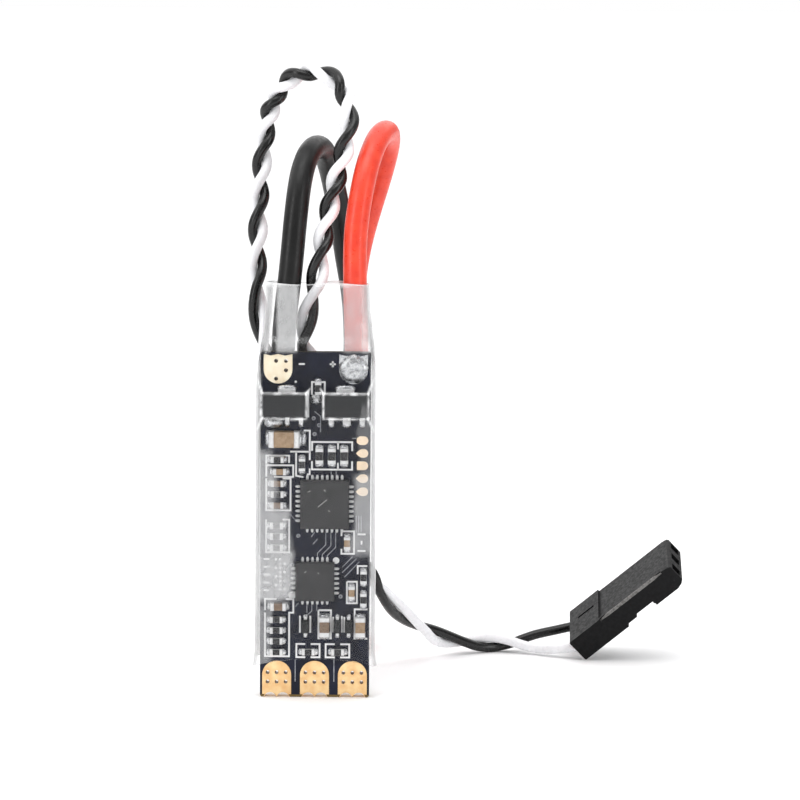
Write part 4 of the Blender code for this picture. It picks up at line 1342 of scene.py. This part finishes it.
def make_signal_pair(finishes):
    """Two insulated strands twisted round each other, from the board to the plug's outer ways."""
    path = evenly_spaced(smooth_path(SIGNAL_ROUTE), 0.3)
    step = path_length(path) / (len(path) - 1)
    spots = (CROSSINGS[0] - 7.0, *CROSSINGS)
    turns = np.interp([i * step for i in range(len(path))], spots, np.arange(len(spots)) / 2 - 0.5)
    strands = {1: [], -1: []}
    front = Vector((0.0, -1.0, 0.0))
    for i, point in enumerate(path):
        tangent = (path[min(i + 1, len(path) - 1)] - path[max(i - 1, 0)]).normalized()
        outward = (front - tangent * front.dot(tangent)).normalized()
        sideways = tangent.cross(outward)
        walked = i * step
        loose = 0.08 * math.exp(-(((walked - 7.0) / 3.0) ** 2))
        spread = STRAND_RADIUS + STRAND_GAP + loose
        to_plug = eased(walked, path_length(path) - PARTING, path_length(path))
        angle = math.tau * turns[i]
        lean = Vector((-0.4 * math.exp(-((walked / 3.5) ** 2)), 0.0, 0.0))
        for way, strand in strands.items():
            twisted = way * spread * (math.cos(angle) * outward + math.sin(angle) * sideways)
            parted = way * PLUG_PITCH * PLUG_ACROSS
            strand.append(point + twisted.lerp(parted, to_plug) + lean)
    joints = {1: "ground_solder_joint", -1: "signal_solder_joint"}
    bm = bmesh.new()
    for index, (way, strand) in enumerate(strands.items()):
        low, high = box_mm(joints[way])
        top = Vector(((low.x + high.x) / 2, high.y - 0.1, high.z - 0.25))
        rise = (top + strand[0]) / 2 + Vector((0.0, 0.12, 0.0))
        way_in = PLUG_REAR + way * PLUG_PITCH * PLUG_ACROSS
        start = smooth_path([top, rise, strand[0], strand[6]], 6)[:-6]
        tail = [strand[-6], strand[-1], way_in - PLUG_ALONG * 0.1, way_in + PLUG_ALONG * 1.8]
        line = [*start, *strand[1:], *smooth_path(tail, 6)[7:]]
        add_sweep(bm, line, [STRAND_RADIUS] * len(line), 14, index)
    skins = [finishes["black_pvc"], finishes["white_pvc"]]
    pair = mesh_piece("signal_pair", bm, skins, ["signal_lead"], 60.0)
    joint_middle = Vector((-0.65, path[0].y, 33.4))
    return pair, evenly_spaced([joint_middle, *path, PLUG_REAR + PLUG_ALONG * 2.0], 0.5)


def add_box(bm, low, high):
    """Adds a block between two corners, built up along Z."""
    corners = ((low[0], low[1]), (high[0], low[1]), (high[0], high[1]), (low[0], high[1]))
    add_loft(bm, [[(x, y, z) for x, y in corners] for z in (low[2], high[2])])


def plug_cuts():
    """Low and high corners of every block cut out of the plug, in its own directions."""
    half_width, half_thickness = PLUG_WIDTH / 2, PLUG_THICKNESS / 2
    face, under = half_thickness - PLUG_RECESS, -half_thickness
    side, mouth = half_width + PAST, PLUG_LENGTH + PAST
    rail = 2 * RAIL_RADIUS - half_width  # the rail's inner edge
    cuts = [
        ((PLUG_STEP, rail, face), (mouth, side, 4.0)),
        ((4.6, rail, face - 0.4), (12.6, 2.9 * RAIL_RADIUS - half_width, 4.0)),
        ((4.3, -side, half_thickness - RAIL_RADIUS), (12.9, RAIL_RADIUS - half_width, 4.0)),
        ((1.3, 0.5, face), (3.5, 0.85, 4.0)),
        ((6.2, -side, -4.0), (10.1, side, under + 0.3)),
        ((7.6, -side, -4.0), (10.0, side, under + 0.6)),
    ]
    for y in (-PLUG_PITCH, 0.0, PLUG_PITCH):
        cuts += [
            ((-PAST, y - 0.85, -0.85), (4.3, y + 0.85, 0.85)),
            ((4.0, y - 0.67, -0.69), (9.0, y + 0.67, 0.69)),
            ((8.5, y - 0.62, -0.62), (mouth, y + 0.62, 0.62)),
            ((7.9, y - 0.75, -4.0), (9.9, y + 0.75, -0.5)),
        ]
    return cuts


def make_plug(finishes):
    """The plug's housing: a thick wire end, a stepped face with a rail, ways and latch windows."""
    half_width, half_thickness = PLUG_WIDTH / 2, PLUG_THICKNESS / 2
    bm = bmesh.new()
    rings = []
    for x, inset in ((0.0, 0.12), (0.12, 0.0), (13.1, 0.0), (13.7, 0.16), (PLUG_LENGTH, 0.38)):
        y, z = half_width - inset, half_thickness - inset
        rings.append([(x, -y, -z), (x, y, -z), (x, y, z), (x, -y, z)])
    add_loft(bm, rings)
    housing = mesh_piece("plug_shell", bm, finishes["plug"], ["plug_housing"])
    for low, high in plug_cuts():
        cutter_bm = bmesh.new()
        add_box(cutter_bm, low, high)
        cut(housing, cutter_bm, finishes["plug"])
    bevel(housing, 0.1, 3, 40.0)
    bm = bmesh.new()
    y, z = RAIL_RADIUS - half_width, half_thickness - RAIL_RADIUS
    line = [Vector((4.25 + 8.7 * k / 16, y, z)) for k in range(17)]
    add_sweep(bm, line, [RAIL_RADIUS * min(1.0, 0.4 + 0.3 * min(k, 16 - k)) for k in range(17)], 16)
    # The rail's lighter finish is a painted highlight
    rail = mesh_piece("plug_rail", bm, finishes["painted_highlight_nylon"])
    turn = Matrix((PLUG_ALONG, PLUG_ACROSS, PLUG_ALONG.cross(PLUG_ACROSS))).transposed().to_4x4()
    for made in (housing, rail):
        made.data.transform(Matrix.Translation(PLUG_REAR * MM) @ turn)
    return housing, rail


def make_cords(finishes):
    """The two power leads, and the signal pair with its plug."""
    make_power_lead("negative_lead", NEGATIVE_ROUTE, finishes["black"], finishes)
    make_power_lead("positive_lead", POSITIVE_ROUTE, finishes["red"], finishes)
    pair, path = make_signal_pair(finishes)
    housing, rail = make_plug(finishes)
    round(path_length(path)) * MM
    [point * MM for point in path]


# ---------------------------------------------------------------- studio

FLOOR_HALF = 12000.0
OBJECT_MIDDLE = (8.0, 8.0, 28.0)
ROOM_STRENGTH = 0.56
SUN_STRENGTH, SUN_ANGLE, SUN_FROM = 2.2, 110.0, (-0.2, 0.5, 1.0)
LAMPS = (  # name, place, width and height, power
    ("key", (-300.0, -260.0, 190.0), (120.0, 360.0), 0.55),
    ("fill", (330.0, -260.0, 170.0), (120.0, 360.0), 0.4),
    ("top", (0.0, -120.0, 420.0), (300.0, 200.0), 0.45),
)


def make_camera():
    """The camera, a little above the object and straight in front of its board."""
    data = bpy.data.cameras.new("camera")
    data.lens = CAMERA_LENS
    data.clip_start = 0.01
    data.clip_end = 20.0
    camera = new_object("camera", data)
    elevation = math.radians(CAMERA_ELEVATION)
    forward = Vector((0.0, math.cos(elevation), -math.sin(elevation)))
    right = Vector((1.0, 0.0, 0.0))
    level = Matrix((right, right.cross(forward), -forward)).transposed()
    roll = Matrix.Rotation(math.radians(CAMERA_ROLL), 3, "Z")
    place = (Vector(CAMERA_TARGET) - forward * CAMERA_DISTANCE) * MM
    camera.matrix_world = Matrix.Translation(place) @ (level @ roll).to_4x4()
    bpy.context.scene.camera = camera


def make_floor(finishes):
    bm = bmesh.new()
    corners = ((-1, -1), (1, -1), (1, 1), (-1, 1))
    bm.faces.new([bm.verts.new((FLOOR_HALF * x, FLOOR_HALF * y, 0.0)) for x, y in corners])
    mesh = mesh_in_metres("floor", bm)
    mesh.materials.append(finishes["floor"])
    new_object("floor", mesh)


def make_lamp(name, place, size, power):
    """A soft box at a place, turned to the middle of the object."""
    data = bpy.data.lights.new(name, "AREA")
    data.shape = "RECTANGLE"
    data.size, data.size_y = size[0] * MM, size[1] * MM
    data.energy = power
    lamp = new_object(name, data)
    lamp.location = Vector(place) * MM
    lamp.rotation_euler = (Vector(OBJECT_MIDDLE) - Vector(place)).to_track_quat("-Z", "Y").to_euler()


def make_world():
    """An even soft room that reads as plain white paper where the camera sees it directly."""
    world = bpy.data.worlds.new("studio")
    world.use_nodes = True
    tree = world.node_tree
    room = tree.nodes["Background"]
    room.inputs["Color"].default_value = (1.0, 1.0, 1.0, 1.0)
    room.inputs["Strength"].default_value = ROOM_STRENGTH
    paper = add_node(tree, "ShaderNodeBackground", Color=(1.0, 1.0, 1.0, 1.0), Strength=1.0)
    seen = add_node(tree, "ShaderNodeLightPath").outputs["Is Camera Ray"]
    mixed = add_node(tree, "ShaderNodeMixShader", [("Fac", seen)])
    tree.links.new(room.outputs[0], mixed.inputs[1])
    tree.links.new(paper.outputs[0], mixed.inputs[2])
    tree.links.new(mixed.outputs[0], tree.nodes["World Output"].inputs["Surface"])
    bpy.context.scene.world = world


def make_sun():
    """Very soft light from above and behind, which keeps the floor white."""
    data = bpy.data.lights.new("sky_panel", "SUN")
    data.energy = SUN_STRENGTH
    data.angle = math.radians(SUN_ANGLE)
    new_object("sky_panel", data).rotation_euler = Vector(SUN_FROM).to_track_quat("Z", "Y").to_euler()


def make_studio(finishes):
    make_camera()
    make_floor(finishes)
    make_world()
    make_sun()
    for lamp in LAMPS:
        make_lamp(*lamp)
    bpy.context.scene.view_settings.view_transform = "Standard"


def main():
    finishes = make_finishes()
    make_studio(finishes)
    make_cords(finishes)
    make_board(finishes)
    make_motor_pads(finishes)
    make_battery_pads(finishes)
    make_puddle(finishes)
    make_programming_pads(finishes)
    make_legend(finishes)
    solder_bm = bmesh.new()
    make_capped_parts(finishes, solder_bm)
    make_regulator_metal(finishes, solder_bm)
    make_diode_leads(finishes, solder_bm)
    mesh_piece("solder_fillets", solder_bm, finishes["solder"], sharp_angle=60.0)
    make_chip_pins(finishes)
    make_scuffs(finishes)
    make_transistor_pins(finishes)
    finish_chips(finishes)
    make_lead_joints(finishes)
    make_sleeve(finishes)


main()
